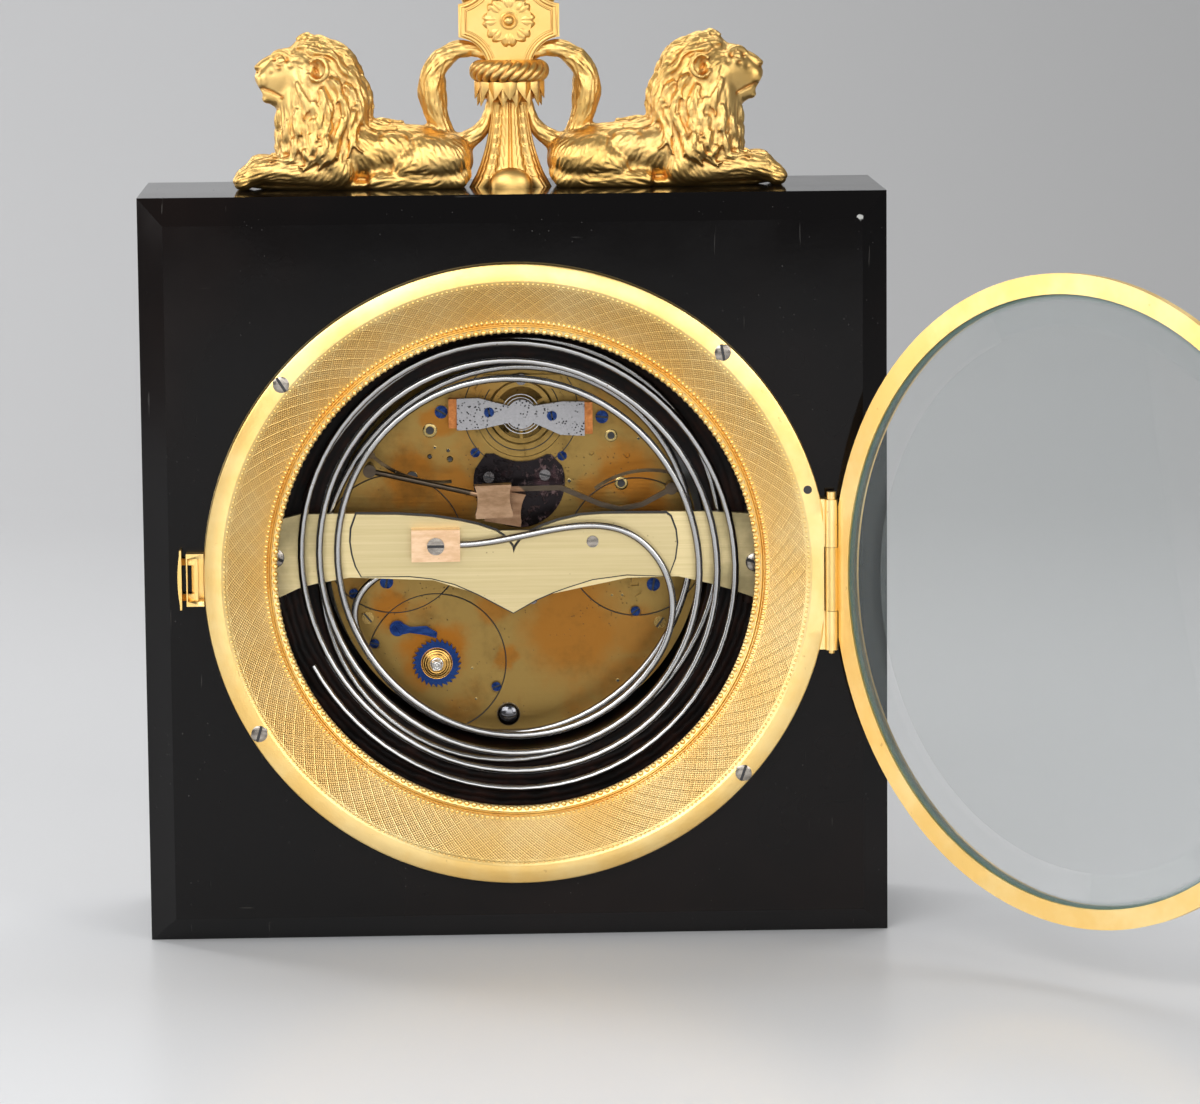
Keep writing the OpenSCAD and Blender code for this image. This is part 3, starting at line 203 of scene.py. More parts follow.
def lacquer(name):
    """Polished black with a brown bloom, smears, scratches, dust and one pale chip."""
    s = Shade(name)
    warm = s.noise(9, 4, 0.6).step(0.45, 0.75)
    smear = s.noise(38, 5, 0.65).step(0.4, 0.7)
    scratch = s.both(
        s.noise(60, 2, 0.5, s.stretched(14, 1, 1)).step(0.72, 0.76),
        s.noise(46, 2, 0.5, s.stretched(1, 1, 11)).step(0.74, 0.78),
    )
    dust = s.cells(520).step(0.10, 0.04) * s.noise(60, 3).step(0.5, 0.62)
    dark = s.mix(warm * 0.7, (0.0035, 0.003, 0.003), (0.010, 0.006, 0.005))
    base = s.mix(dust * 0.22, dark, (0.20, 0.19, 0.18))
    chip = (s.far(78.5, -31.8, 165.2) + s.noise(2200, 3) * 0.0008).step(0.0013, 0.0010)
    base = s.mix(chip * 0.8, base, (0.5, 0.5, 0.48))
    return s.done(
        Base_Color=s.mix(scratch * 0.07, base, (0.35, 0.33, 0.30)),
        Roughness=smear * 0.05 + 0.06 + scratch * 0.18 + dust * 0.3,
        Normal=s.bump(s.noise(30, 2) * 0.6 + s.noise(900, 2) * 0.02 - scratch * 0.03, 0.0004, 0.3),
        Specular_IOR_Level=0.14,
    )


def dark_wood(name):
    """Stained wood, turned to a round well, so that its tool marks run in rings."""
    s = Shade(name)
    rings = s.noise(150, 5, 0.6, s.stretched(1, 0.08, 1))
    turned = (s.from_axis(0, DIAL.z) * 640 + rings * 1.5).wave()
    tone = (rings + turned * 0.06).step(0.35, 0.85)
    return s.done(
        Base_Color=s.mix(tone, (0.004, 0.0025, 0.002), (0.034, 0.011, 0.006)),
        Roughness=rings * 0.2 + 0.34,
        Normal=s.bump(turned * 0.2 + rings, 0.0003, 0.4),
        Specular_IOR_Level=0.16,
    )


GILT_SHADE, GILT, GILT_PALE = (0.50, 0.19, 0.04), (0.93, 0.61, 0.20), (1.0, 0.78, 0.37)


def gilt_sockets(s, height=None, hollow_shade=None, grain=0.2, rough=0.34, low=GILT, pale=GILT_PALE):
    """Fire gilding: darker and warmer in hollows as painted shade, paler where rubbed, with a faint
    grain.
    """
    cloud = s.noise(55, 4, 0.6)
    grainy = s.noise(2600, 3, 0.6)
    tone = s.mix(cloud.step(0.35, 0.7) * 0.7, low, pale)
    # Painted shade: darker, warmer gilding where the surface dips
    if hollow_shade is not None:
        tone = s.mix(hollow_shade, tone, GILT_SHADE)
    fleck = s.noise(330, 3, 0.7).step(0.66, 0.74)
    full = grainy * grain if height is None else grainy * grain + height
    return dict(
        Base_Color=s.mix(fleck * 0.35, tone, (0.42, 0.20, 0.05)),
        Roughness=cloud * 0.16 + grainy * 0.12 + (rough - 0.14) + fleck * 0.15,
        Metallic=1.0,
        Normal=s.bump(full, 0.00012, 0.9),
    )


def gilt(name):
    """Plain gilding."""
    s = Shade(name)
    return s.done(**gilt_sockets(s))


def gilt_carved(name):
    """Gilding on the cast ornament, with painted shade darkening its hollows, read from a mesh
    attribute.
    """
    s = Shade(name)
    hollow_shade = s.value("Attribute", {}, output="Fac", attribute_name="hollow_shade")
    low, pale = (0.74, 0.46, 0.14), (0.84, 0.58, 0.23)
    return s.done(**gilt_sockets(s, hollow_shade=hollow_shade, rough=0.40, low=low, pale=pale))


# The engine-turned band: lines in each family, and metres outwards from one line to the next
LINES, LINE_STEP = 107, 0.0029


def engine_turned(name):
    """Gilding cut with two families of crossing pale lines over a fine weave, darkened between them
    as painted shade.
    """
    s = Shade(name)
    r = s.from_axis(0, DIAL.z)
    turn = s.math("ARCTAN2", s.z - DIAL.z * MM, s.x) * (LINES / TAU)
    out = (r - 0.0570) / LINE_STEP
    lines, hatch = [], []
    for way in (turn + out + 400, turn - out + 400):
        lines.append((way.fract() - 0.5).size().step(0.43, 0.49))
        hatch.append((way * 5).wave() * 0.5 + 0.5)
    cut = s.both(*lines)
    fine = hatch[0] * hatch[1]
    zone = r.step(0.0576, 0.0581) * r.step(0.0661, 0.0656)
    relief = zone * (fine * 1.1 + cut * 0.8)
    # Painted shade: darker where neither a cut line nor the weave's crest lies
    groove_shade = zone * (1.0 - s.both(fine, cut)) * 0.34
    low, pale = (0.97, 0.68, 0.25), (1.0, 0.82, 0.42)
    return s.done(**gilt_sockets(s, relief * 0.9, groove_shade, grain=0.12, rough=0.40, low=low, pale=pale))


# Stains on the rear plate: x, z and reach in millimetres, and how strong
STAINS = [
    (-19, 61.5, 9, 1.0), (-24, 103, 8, 0.9), (-14, 99, 9, 0.8), (26, 103, 9, 0.9), (30, 96, 7, 0.9),
    (19, 99, 6, 0.7), (14, 68, 15, 0.8), (27, 66, 8, 0.6), (-3, 73, 5, 0.7), (-29, 72, 6, 0.9),
    (-17, 117, 4, 0.8), (-2.5, 60, 3.5, 0.8),
]


def brass_patina(name):
    """Old movement brass: olive to orange stains, fine brushing, pits and dark spots."""
    s = Shade(name)
    wander = (s.noise(120, 4, 0.6) - 0.5) * 0.012
    stain = s.noise(46, 5, 0.62).step(0.48, 0.7) * 0.6
    for x, z, reach, strong in STAINS:
        near = s.from_axis(x, z) + wander
        stain = s.both(stain, near.step(reach * 1.15 * MM, reach * 0.45 * MM) * strong)
    smoke = s.noise(95, 5, 0.7).step(0.45, 0.8)
    pits = s.cells(900).step(0.16, 0.08) * s.noise(120, 3).step(0.48, 0.6)
    brush = s.noise(420, 3, 0.6, s.stretched(0.12, 1, 3))
    tone = s.mix(stain, (0.25, 0.16, 0.048), (0.28, 0.105, 0.014))
    tone = s.mix(smoke * 0.55, tone, (0.10, 0.06, 0.018))
    return s.done(
        Base_Color=s.mix(pits * 0.85, tone, (0.06, 0.03, 0.012)),
        Roughness=smoke * 0.18 + brush * 0.12 + 0.26,
        Metallic=1.0 - pits * 0.6,
        Normal=s.bump(brush * 0.3 - pits + s.noise(1500, 3) * 0.2, 0.00008, 0.8),
    )


def brass_brushed(share):
    """A maker of pale strap brass, drawn lengthwise, at a share of its full lightness."""
    full = ((0.63, 0.51, 0.26), (0.75, 0.62, 0.35))
    low, high = (tuple(c * share for c in tone) for tone in full)

    def make(name):
        s = Shade(name)
        brush = s.noise(520, 4, 0.7, s.stretched(0.035, 1, 3.2))
        # Darker and rougher in clouds towards both ends of the strap
        darker_ends = s.noise(70, 5, 0.6).step(0.3, 0.7) * s.x.size().step(0.040, 0.050)
        spots = s.cells(420).step(0.10, 0.05) * s.noise(90, 2).step(0.52, 0.6)
        tone = s.mix(brush.step(0.2, 0.8), low, high)
        tone = s.mix(darker_ends * 0.7, tone, (0.24, 0.20, 0.10))
        return s.done(
            Base_Color=s.mix(spots * 0.6, tone, (0.16, 0.12, 0.06)),
            Roughness=brush * 0.16 + 0.28 + darker_ends * 0.1,
            Metallic=1.0,
            Normal=s.bump(brush - spots * 0.5, 0.00003, 0.6),
        )

    return make


def plain_metal(low, high, rough, pit=0.25):
    """A maker of metal finishes: two tones, fine brushing and a few spots."""

    def make(name):
        s = Shade(name)
        brush = s.noise(700, 4, 0.65, s.stretched(0.3, 1, 1))
        spots = s.cells(700).step(0.2, 0.1) * s.noise(160, 3).step(0.45, 0.6)
        tone = s.mix(brush.step(0.3, 0.7), low, high)
        return s.done(
            Base_Color=s.mix(spots * pit, tone, (0.05, 0.04, 0.03)),
            Roughness=brush * 0.12 + (rough - 0.06) + spots * 0.2,
            Metallic=1.0,
            Normal=s.bump(brush * 0.5 - spots * 0.6, 0.00006, 0.7),
        )

    return make


def gong_wire(name):
    """Drawn steel: smooth, with a dull cloud here and there and a few rust specks."""
    s = Shade(name)
    cloud = s.noise(60, 3)
    rust = s.cells(420).step(0.09, 0.03) * s.noise(80, 2).step(0.5, 0.6)
    tone = s.mix(cloud, (0.36, 0.355, 0.35), (0.55, 0.545, 0.54))
    return s.done(
        Base_Color=s.mix(rust, tone, (0.16, 0.07, 0.03)),
        Roughness=cloud * 0.1 + 0.16 + rust * 0.3,
        Metallic=1.0,
        Normal=s.bump(s.noise(1800, 2), 0.00001, 0.4),
    )


def hammer_of(x, z, reach, low, high):
    """A maker of a hammer's finish: a bronze head round x and z, on a dark steel arm."""

    def make(name):
        s = Shade(name)
        brush = s.noise(700, 4, 0.65, s.stretched(0.4, 1, 1))
        head = s.from_axis(x, z).step((reach + 0.3) * MM, (reach - 0.2) * MM)
        arm = s.mix(brush, (0.03, 0.022, 0.016), (0.11, 0.085, 0.06))
        return s.done(
            Base_Color=s.mix(head, arm, s.mix(brush.step(0.25, 0.75), low, high)),
            Roughness=brush * 0.14 + 0.32,
            Metallic=1.0,
            Normal=s.bump(brush, 0.00006, 0.7),
        )

    return make


def pitted_silver(name):
    """The cock: pale steel with a scatter of black pits."""
    s = Shade(name)
    pits = s.both(
        s.cells(1500).step(0.34, 0.2) * s.noise(260, 3).step(0.42, 0.52),
        s.cells(600).step(0.12, 0.06),
    )
    grain = s.noise(1400, 3, 0.7)
    tone = s.mix(grain, (0.24, 0.235, 0.24), (0.40, 0.395, 0.405))
    return s.done(
        Base_Color=s.mix(pits, tone, (0.02, 0.02, 0.023)),
        Roughness=grain * 0.2 + 0.38,
        Metallic=1.0 - pits * 0.5,
        Normal=s.bump(grain * 0.4 - pits, 0.0001, 0.8),
    )


def black_steel(name):
    """The hammer plate: nearly black, with reddish pits on one half."""
    s = Shade(name)
    pits = s.noise(520, 5, 0.75).step(0.52, 0.64)
    shine = s.noise(150, 4, 0.6).step(0.5, 0.7)
    low = s.mix(shine, (0.012, 0.009, 0.010), (0.060, 0.030, 0.034))
    return s.done(
        Base_Color=s.mix(pits * s.x.step(-0.004, 0.012), low, (0.20, 0.13, 0.13)),
        Roughness=pits * 0.35 + 0.22,
        Metallic=0.85,
        Normal=s.bump(pits * 0.8 + shine * 0.3, 0.00012, 0.9),
    )


BARREL = (-18.5, 59.2)  # x and z of the winding arbor, in millimetres


def ratchet_steel(name):
    """Blued ratchet with a brass dome and a bright winding square."""
    s = Shade(name)
    r = s.from_axis(*BARREL)
    cloud = s.noise(300, 4)
    dome = r.step(0.00375, 0.00365)
    square = s.y.step(0.00045, 0.0003) * r.step(0.00155, 0.00145)
    ring = (r * 1900).wave() * 0.5 + 0.5
    tone = s.mix(dome, s.mix(cloud, (0.008, 0.022, 0.09), (0.02, 0.05, 0.17)), (0.62, 0.36, 0.10))
    return s.done(
        Base_Color=s.mix(square, tone, (0.45, 0.44, 0.42)),
        Roughness=cloud * 0.12 + 0.2,
        Metallic=1.0,
        Normal=s.bump(ring * dome * 0.5 + cloud * 0.2, 0.00015, 0.8),
    )


# x and z of the plate screws that aren't blue
STEEL_HEADS = [(-1.8, 46.8), (4.2, 73.9), (2, 125.9), (-4.9, 102.6), (7.4, 102.8)]
BRASS_HEADS = [(34, 68.1), (-34.5, 70.1)]


def screw_blue(name):
    """Blued screws, with a few that stay bright or are brass."""
    s = Shade(name)
    cloud = s.noise(900, 4)
    tone = s.mix(cloud.step(0.3, 0.7), (0.006, 0.014, 0.055), (0.02, 0.045, 0.15))
    for heads, colour in ((STEEL_HEADS, (0.16, 0.15, 0.15)), (BRASS_HEADS, (0.36, 0.24, 0.08))):
        for x, z in heads:
            tone = s.mix(s.from_axis(x, z).step(0.0034, 0.0033), tone, colour)
    return s.done(
        Base_Color=tone,
        Roughness=cloud * 0.2 + 0.16,
        Metallic=1.0,
        Normal=s.bump(s.noise(3000, 3), 0.00004, 0.6),
    )


def copper(name):
    """The tarnished feet of the cock."""
    s = Shade(name)
    cloud = s.noise(260, 5, 0.7)
    return s.done(
        Base_Color=s.mix(cloud.step(0.35, 0.7), (0.30, 0.10, 0.03), (0.62, 0.25, 0.08)),
        Roughness=cloud * 0.3 + 0.25,
        Metallic=1.0,
        Normal=s.bump(s.noise(2200, 3), 0.00006, 0.6),
    )


def enamel(name):
    """The dial: warm white, glossy and slightly wavy."""
    s = Shade(name)
    cloud = s.noise(60, 4)
    return s.done(
        Base_Color=s.mix(cloud, (0.80, 0.78, 0.72), (0.86, 0.85, 0.80)),
        Roughness=cloud * 0.06 + 0.12,
        Normal=s.bump(s.noise(220, 2), 0.00005, 0.5),
        Coat_Weight=0.5,
    )


def black_paint(name):
    """Dull black, for numerals and seams, and for painted shade in pivot holes, the pin hole and
    screw slots and painted shadow round the gong plate.
    """
    s = Shade(name)
    cloud = s.noise(500, 4)
    return s.done(
        Base_Color=s.mix(cloud, (0.010, 0.010, 0.012), (0.025, 0.024, 0.026)),
        Roughness=cloud * 0.2 + 0.3,
        Normal=s.bump(cloud, 0.00003, 0.5),
    )


def glass_of(x, y):
    """A maker of door glass whose rim, far from the middle point at x and y, is green."""

    def make(name):
        s = Shade(name)
        out = s.far(x, y, DIAL.z)
        rim = out.step(0.0655, 0.0684)
        bevel = out.step(0.0592, 0.0612)
        haze = s.noise(40, 4, 0.6)
        glint = s.value("LayerWeight", {"Blend": 0.35}, output="Fresnel")
        return s.done(
            Base_Color=s.mix(rim, (0.30, 0.34, 0.34), (0.03, 0.15, 0.11)),
            Roughness=haze * 0.04 + 0.02,
            Alpha=rim * 0.75 + bevel * 0.06 + glint * 0.22 + haze * 0.02 + 0.03,
            Normal=s.bump(haze, 0.00005, 0.3),
            Coat_Weight=0.0,
        )

    return make


# The rear door's hinge, how far it stands open, and its glass's middle from the hinge when shut
HINGE = Vector((71.5, -35.7, 0))
OPEN = math.radians(132)
DOOR_ARM = Vector((-71.9, -2.3))


def open_middle():
    """Middle of the rear door's glass, x and y, as it stands open."""
    x = DOOR_ARM.x * math.cos(OPEN) - DOOR_ARM.y * math.sin(OPEN)
    y = DOOR_ARM.x * math.sin(OPEN) + DOOR_ARM.y * math.cos(OPEN)
    return HINGE.x + x, HINGE.y + y


MAKERS = {
    "lacquer": lacquer,
    "dark_wood": dark_wood,
    "gilt": gilt,
    "gilt_carved": gilt_carved,
    "engine_turned": engine_turned,
    "brass": brass_patina,
    "brass_strap": brass_brushed(1.0),
    "brass_plate": brass_brushed(0.82),
    "brass_bright": plain_metal((0.30, 0.22, 0.08), (0.44, 0.33, 0.14), 0.25, 0.3),
    "pink_brass": plain_metal((0.66, 0.42, 0.24), (0.80, 0.56, 0.36), 0.33, 0.12),
    "steel": plain_metal((0.34, 0.33, 0.32), (0.56, 0.54, 0.53), 0.28, 0.5),
    "wire": gong_wire,
    "bronze": hammer_of(-4.9, 99.5, 5.6, (0.22, 0.13, 0.07), (0.36, 0.23, 0.14)),
    "bronze_dark": hammer_of(-2.2, 97.0, 5.8, (0.17, 0.09, 0.05), (0.28, 0.17, 0.10)),
    "silver": pitted_silver,
    "black_steel": black_steel,
    "ratchet": ratchet_steel,
    "screw_blue": screw_blue,
    "blued": plain_metal((0.007, 0.016, 0.07), (0.02, 0.05, 0.17), 0.22, 0.2),
    "dark_wire": plain_metal((0.045, 0.03, 0.018), (0.12, 0.085, 0.045), 0.2, 0.3),
    "dome_steel": plain_metal((0.10, 0.10, 0.11), (0.20, 0.20, 0.21), 0.16, 0.4),
    "screw_steel": plain_metal((0.18, 0.16, 0.14), (0.42, 0.38, 0.33), 0.25, 0.5),
    "copper": copper,
    "enamel": enamel,
    "black_paint": black_paint,
    "glass_rear": glass_of(*open_middle()),
    "glass_front": glass_of(-0.4, 38.0),
}

WEAR = {
    "lacquer": ["case_top", "case_base", "case_sides", "rear_board", "front_board"],
    "dark_wood": ["movement_well"],
    "gilt": [
        "rear_door_ring", "front_door_ring", "hinge_pins", "catch_block", "catch_button",
        "carrying_ring",
    ],
    "gilt_carved": [
        "rosette_plaque", "ornament_shaft", "rope_collar", "lion_left", "lion_right",
    ],
    "engine_turned": ["rear_bezel", "front_bezel"],
    "brass": [
        "rear_plate", "front_plate", "pillars", "barrel_bridges", "barrel",
        "intermediate_wheel", "third_wheel", "fourth_wheel", "escape_wheel", "balance",
        "regulator_ring", "strike_barrel", "pin_wheel", "warning_wheel", "fly",
        "motion_wheel", "hour_wheel",
    ],
    "brass_strap": ["gong_strap"],
    "brass_plate": ["gong_plate"],
    "pink_brass": ["gong_blocks"],
    "steel": ["ornament_nuts", "centre_arbor", "hairspring"],
    "screw_steel": ["wood_screws", "gong_screws"],
    "dark_wire": ["hammer_springs"],
    "wire": ["gong_a", "gong_b"],
    "silver": ["balance_cock"],
    "ratchet": ["winding_arbor"],
    "screw_blue": ["plate_screws"],
    "blued": ["click", "hour_hand", "minute_hand"],
    "black_steel": ["hammer_plate"],
    "copper": ["cock_feet"],
    "bronze": ["hammer_a"],
    "bronze_dark": ["hammer_b"],
    "enamel": ["dial"],
    "glass_rear": ["rear_door_glass"],
    "glass_front": ["front_door_glass"],
}


# Modelling


def only(*objects):
    """Selects these objects and nothing else."""
    bpy.ops.object.select_all(action="DESELECT")
    for thing in objects:
        thing.select_set(True)
    bpy.context.view_layer.objects.active = objects[0]
    return objects[0]


def new(kind, **how):
    """A new primitive of that kind, given in millimetres, with its place in its mesh."""
    bpy.ops.object.select_all(action="DESELECT")
    for key in ("radius", "depth", "size", "radius1", "radius2"):
        if key in how:
            how[key] *= MM
    if "location" in how:
        how["location"] = Vector(how["location"]) * MM
    getattr(bpy.ops.mesh, f"primitive_{kind}_add")(**how)
    return settle(bpy.context.object)


def settle(thing):
    """Puts the thing's place, turn and scale into its mesh."""
    only(thing)
    bpy.ops.object.transform_apply(location=True, rotation=True, scale=True)
    return thing


def modify(thing, kind, **how):
    """Adds a modifier, sets it and applies it."""
    only(thing)
    modifier = thing.modifiers.new(kind.lower(), kind)
    for key, value in how.items():
        setattr(modifier, key, value)
    bpy.ops.object.modifier_apply(modifier=modifier.name)
    return thing


def edit(thing, *steps):
    """Runs edit-mode operators on the whole mesh: each step is a name and its settings."""
    only(thing)
    bpy.ops.object.mode_set(mode="EDIT")
    bpy.ops.mesh.select_all(action="SELECT")
    for name, how in steps:
        getattr(bpy.ops.mesh, name)(**how)
    bpy.ops.object.mode_set(mode="OBJECT")
    return thing


def merged(things, name):
    """Joins things into one object of that name."""
    only(*things)
    if len(things) > 1:
        bpy.ops.object.join()
    whole = bpy.context.object
    whole.name = whole.data.name = name
    return whole


def smooth(thing, angle):
    """Shades smoothly over edges below an angle in degrees."""
    only(thing)
    bpy.ops.object.shade_smooth_by_angle(angle=math.radians(angle))
    return thing


def copy_of(thing, matrix=None):
    """A copy with its own mesh, moved by a matrix."""
    twin = thing.copy()
    twin.data = thing.data.copy()
    bpy.context.scene.collection.objects.link(twin)
    if matrix is not None:
        twin.data.transform(matrix)
    return twin


def welded(node, name):
    """A copy of one of the solids whose faces share their points, to be reshaped."""
    twin = copy_of(NODES[node])
    twin.name = name
    return edit(twin, ("remove_doubles", dict(threshold=1e-6)))


def drop(*things):
    for thing in things:
        bpy.data.objects.remove(thing)


def linked(name, data):
    """A new object in the scene that holds this mesh, curve, lamp or camera."""
    thing = bpy.data.objects.new(name, data)
    bpy.context.scene.collection.objects.link(thing)
    return thing


def outline(points, name):
    """A line of edges through points in millimetres."""
    mesh = bpy.data.meshes.new(name)
    ends = [(i, i + 1) for i in range(len(points) - 1)]
    mesh.from_pydata([Vector(p) * MM for p in points], ends, [])
    return linked(name, mesh)


def sized(at, size, turn=Matrix()):
    """The matrix that scales a unit shape, turns it and moves it, in millimetres."""
    return Matrix.Translation(Vector(at) * MM) @ turn @ Matrix.Diagonal((*size, 1))


def shape(kind, at, scale, turn=Matrix(), **how):
    """A primitive scaled, turned and moved into place, in millimetres."""
    thing = new(kind, **how)
    thing.data.transform(sized(at, scale, turn))
    return thing


def about_y(degrees):
    return Matrix.Rotation(math.radians(degrees), 4, "Y")


def circle(x, y, z, radius, count):
    """Points round a circle that faces along Y."""
    turns = [TAU * i / count for i in range(count)]
    return [(x + radius * math.cos(a), y, z + radius * math.sin(a)) for a in turns]


def turned(profile, name, centre, steps=96, axis="Y"):
    """Spins a profile of radius and height round a line along Y or Z through the centre."""
    cx, cy, cz = centre
    if axis == "Y":
        points = [(cx + r, cy - h, cz) for r, h in profile]
        way = (0, 1, 0)
    else:
        points = [(cx + r, cy, cz + h) for r, h in profile]
        way = (0, 0, 1)
    line = outline(points, name)
    return edit(
        line,
        ("spin", dict(steps=steps, angle=TAU, center=Vector(centre) * MM, axis=way)),
        ("remove_doubles", dict(threshold=1e-7)),
        ("normals_make_consistent", dict(inside=False)),
    )


def round_about(thing, count, centre, axis=(0, 1, 0)):
    """Repeats a small mesh count times round an axis."""
    return edit(
        thing,
        ("spin", dict(
            steps=count - 1, dupli=True, angle=TAU * (count - 1) / count,
            center=Vector(centre) * MM, axis=axis,
        )),
    )


def strands(paths, name, radius, sides=1, closed=False):
    """Many wires in one mesh. Each path is a list of x, y, z and a share of the radius."""
    curve = bpy.data.curves.new(name, "CURVE")
    curve.dimensions = "3D"
    curve.bevel_depth = radius * MM
    curve.bevel_resolution = sides
    curve.use_fill_caps = True
    for path in paths:
        spline = curve.splines.new("POLY")
        spline.points.add(len(path) - 1)
        for knot, (x, y, z, share) in zip(spline.points, path):
            knot.co = (x * MM, y * MM, z * MM, 1)
            knot.radius = share
        spline.use_cyclic_u = closed
    only(linked(name, curve))
    bpy.ops.object.convert(target="MESH")
    return bpy.context.object


def tube(points, name, radius, sides=2, closed=False):
    """One even wire through points in millimetres."""
    return strands([[(*p, 1) for p in points]], name, radius, sides, closed)


def reshape(thing, move):
    """Moves each point by a rule in millimetres: move(place, normal) gives the new place."""
    was = [(v.co / MM, v.normal.copy()) for v in thing.data.vertices]
    return put_points(thing, [move(p, normal) for p, normal in was])


def put_points(thing, places):
    """Gives the mesh these points, in millimetres, all at once."""
    thing.data.vertices.foreach_set("co", [c * MM for p in places for c in p])
    thing.data.update()
    return thing


def mark_hollows(thing, strength, passes):
    """Stores how far the surface dips round each point, for the finish to darken as painted shade.
    """
    mesh = thing.data
    grid = bmesh.new()
    grid.from_mesh(mesh)
    depth = []
    for v in grid.verts:
        ring = [e.other_vert(v).co for e in v.link_edges]
        gap = sum((p - v.co).dot(v.normal) for p in ring) / max(1, len(ring))
        depth.append(gap / MM)
    near = [[e.other_vert(v).index for e in v.link_edges] for v in grid.verts]
    for _ in range(passes):
        depth = [
            0.5 * d + 0.5 * sum(depth[j] for j in around) / max(1, len(around))
            for d, around in zip(depth, near)
        ]
    grid.free()
    # Painted shade: how much of the darker gilding each point gets
    layer = mesh.attributes.new("hollow_shade", "FLOAT", "POINT")
    layer.data.foreach_set("value", [min(1.0, max(0.0, d * strength)) for d in depth])
    return thing


def place(thing, body, slot, look, *replaced):
    """Gives a finished piece its finish and its body. Its slot is not used."""
    thing.data.materials.clear()
    thing.data.materials.append(finish(look))
    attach(thing, body)
    if replaced:
        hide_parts(*replaced)
    return thing


# Settings that a user would change


class ClockSettings(bpy.types.PropertyGroup):
    """Sizes and colours of the clock's fine pieces."""

    wire_width: FloatProperty(
        name="Gong wire", description="Thickness of the gong wire, in millimetres", default=1.7
    )
    beads: IntProperty(name="Beads", description="Large beads round each bezel", default=200)
    locks: IntProperty(name="Mane locks", description="Locks in each lion's mane", default=220)
    ribs: IntProperty(name="Rope ribs", description="Slanted ribs round the collar", default=22)
    floor: FloatVectorProperty(
        name="Floor",
        description="Colour of the floor",
        subtype="COLOR",
        default=(0.70, 0.705, 0.715),
    )
    backdrop: FloatVectorProperty(
        name="Backdrop",
        description="Colour of the wall behind the clock",
        subtype="COLOR",
        default=(0.40, 0.40, 0.40),
    )


class ClockOperator:
    bl_options = {"REGISTER", "UNDO"}

    def execute(self, context):
        self.build(context.scene.travel_clock)
        return {"FINISHED"}


class CLOCK_OT_finishes(ClockOperator, bpy.types.Operator):
    """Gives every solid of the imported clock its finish"""

    bl_idname = "clock.finishes"
    bl_label = "Finish the solids"

    def build(self, settings):
        for look, names in WEAR.items():
            for name in names:
                materials = NODES[name].data.materials
                if not materials:
                    materials.append(finish(look))
                for i in range(len(materials)):
                    materials[i] = finish(look)


def gong_paths():
    """Points of both gong wires, in millimetres, as the solids have them."""

    def spiral(angle, growth, squash, lean):
        """The point at an angle on a slightly oval turn, that much further out than the first."""
        r = 39.5 + growth - squash * math.cos(math.radians(2 * (angle + lean)))
        a = math.radians(angle)
        return Vector((-0.35 + r * math.cos(a), 85.15 + r * math.sin(a)))

    def cubic(a, ha, b, hb, steps):
        a, b = Vector(a), Vector(b)
        p = [a, a + Vector(ha), b - Vector(hb), b]
        for i in range(steps):
            t = i / steps
            u = 1 - t
            yield u**3 * p[0] + 3 * t * u * u * p[1] + 3 * t * t * u * p[2] + t**3 * p[3]

    def near_at(turns):
        return spiral(-38 - 360 * turns, 4.2 * turns, 0.95, -29.5)

    def far_at(turns):
        return spiral(211 + 360 * turns, 6.5 * turns, 1.6, 30)

    bend = (30.25, 88.7)
    near = [
        Vector((-13.1, 89.4)),
        *cubic((-12.8, 89.4), (15.4, 0), bend, (10.6, -10.3), 28),
        *cubic(bend, (7.8, -7.6), near_at(0), (-6.8, -9.1), 28),
        *(near_at(3.32 * i / 260) for i in range(261)),
    ]
    far = [
        Vector((12.7, 89.4)),
        *cubic((12.3, 89.4), (-30, -1), far_at(0), (11.3, -18.9), 40),
        *(far_at(1.87 * i / 150) for i in range(151)),
    ]
    return near, far


GONG_Y = (-14.2, -6.2)  # how far back each gong's plane lies


class CLOCK_OT_gongs(ClockOperator, bpy.types.Operator):
    """Winds the two wire gongs"""

    bl_idname = "clock.gongs"
    bl_label = "Wind the gongs"

    def build(self, settings):
        for path, y, node in zip(gong_paths(), GONG_Y, ("gong_a", "gong_b")):
            points = [(p.x, y, p.y) for p in path]
            wire = tube(points, node + "_wire", settings.wire_width / 2, sides=3)
            place(smooth(wire, 60), "case", "steel", "wire", node)


class CLOCK_OT_bezel_beads(ClockOperator, bpy.types.Operator):
    """Sets the beads and ribs round both bezels"""

    bl_idname = "clock.bezel_beads"
    bl_label = "Bead the bezels"

    def build(self, settings):
        for side, name in ((-1, "rear"), (1, "front")):
            rows = []
            # Radius of the row, height above the face, size of a bead, and how many
            for radius, height, bead, count in (
                (55.1, -4.75, 0.66, settings.beads),
                (57.3, -4.0, 0.42, 307),
                (66.4, 3.05, 0.33, 363),
            ):
                y = side * (FACE + height)
                at = (radius, y, DIAL.z)
                one = new("uv_sphere", segments=8, ring_count=6, radius=bead, location=at)
                rows.append(round_about(one, count, (0, y, DIAL.z)))
            for radius, height, thick in ((56.1, -4.35, 0.28), (56.65, -4.3, 0.2)):
                ring = circle(0, side * (FACE + height), DIAL.z, radius, 240)
                rows.append(tube(ring, "rib", thick, sides=1, closed=True))
            whole = merged(rows, name + "_bezel_beads")
            place(smooth(whole, 60), "case", "gilt", "gilt")


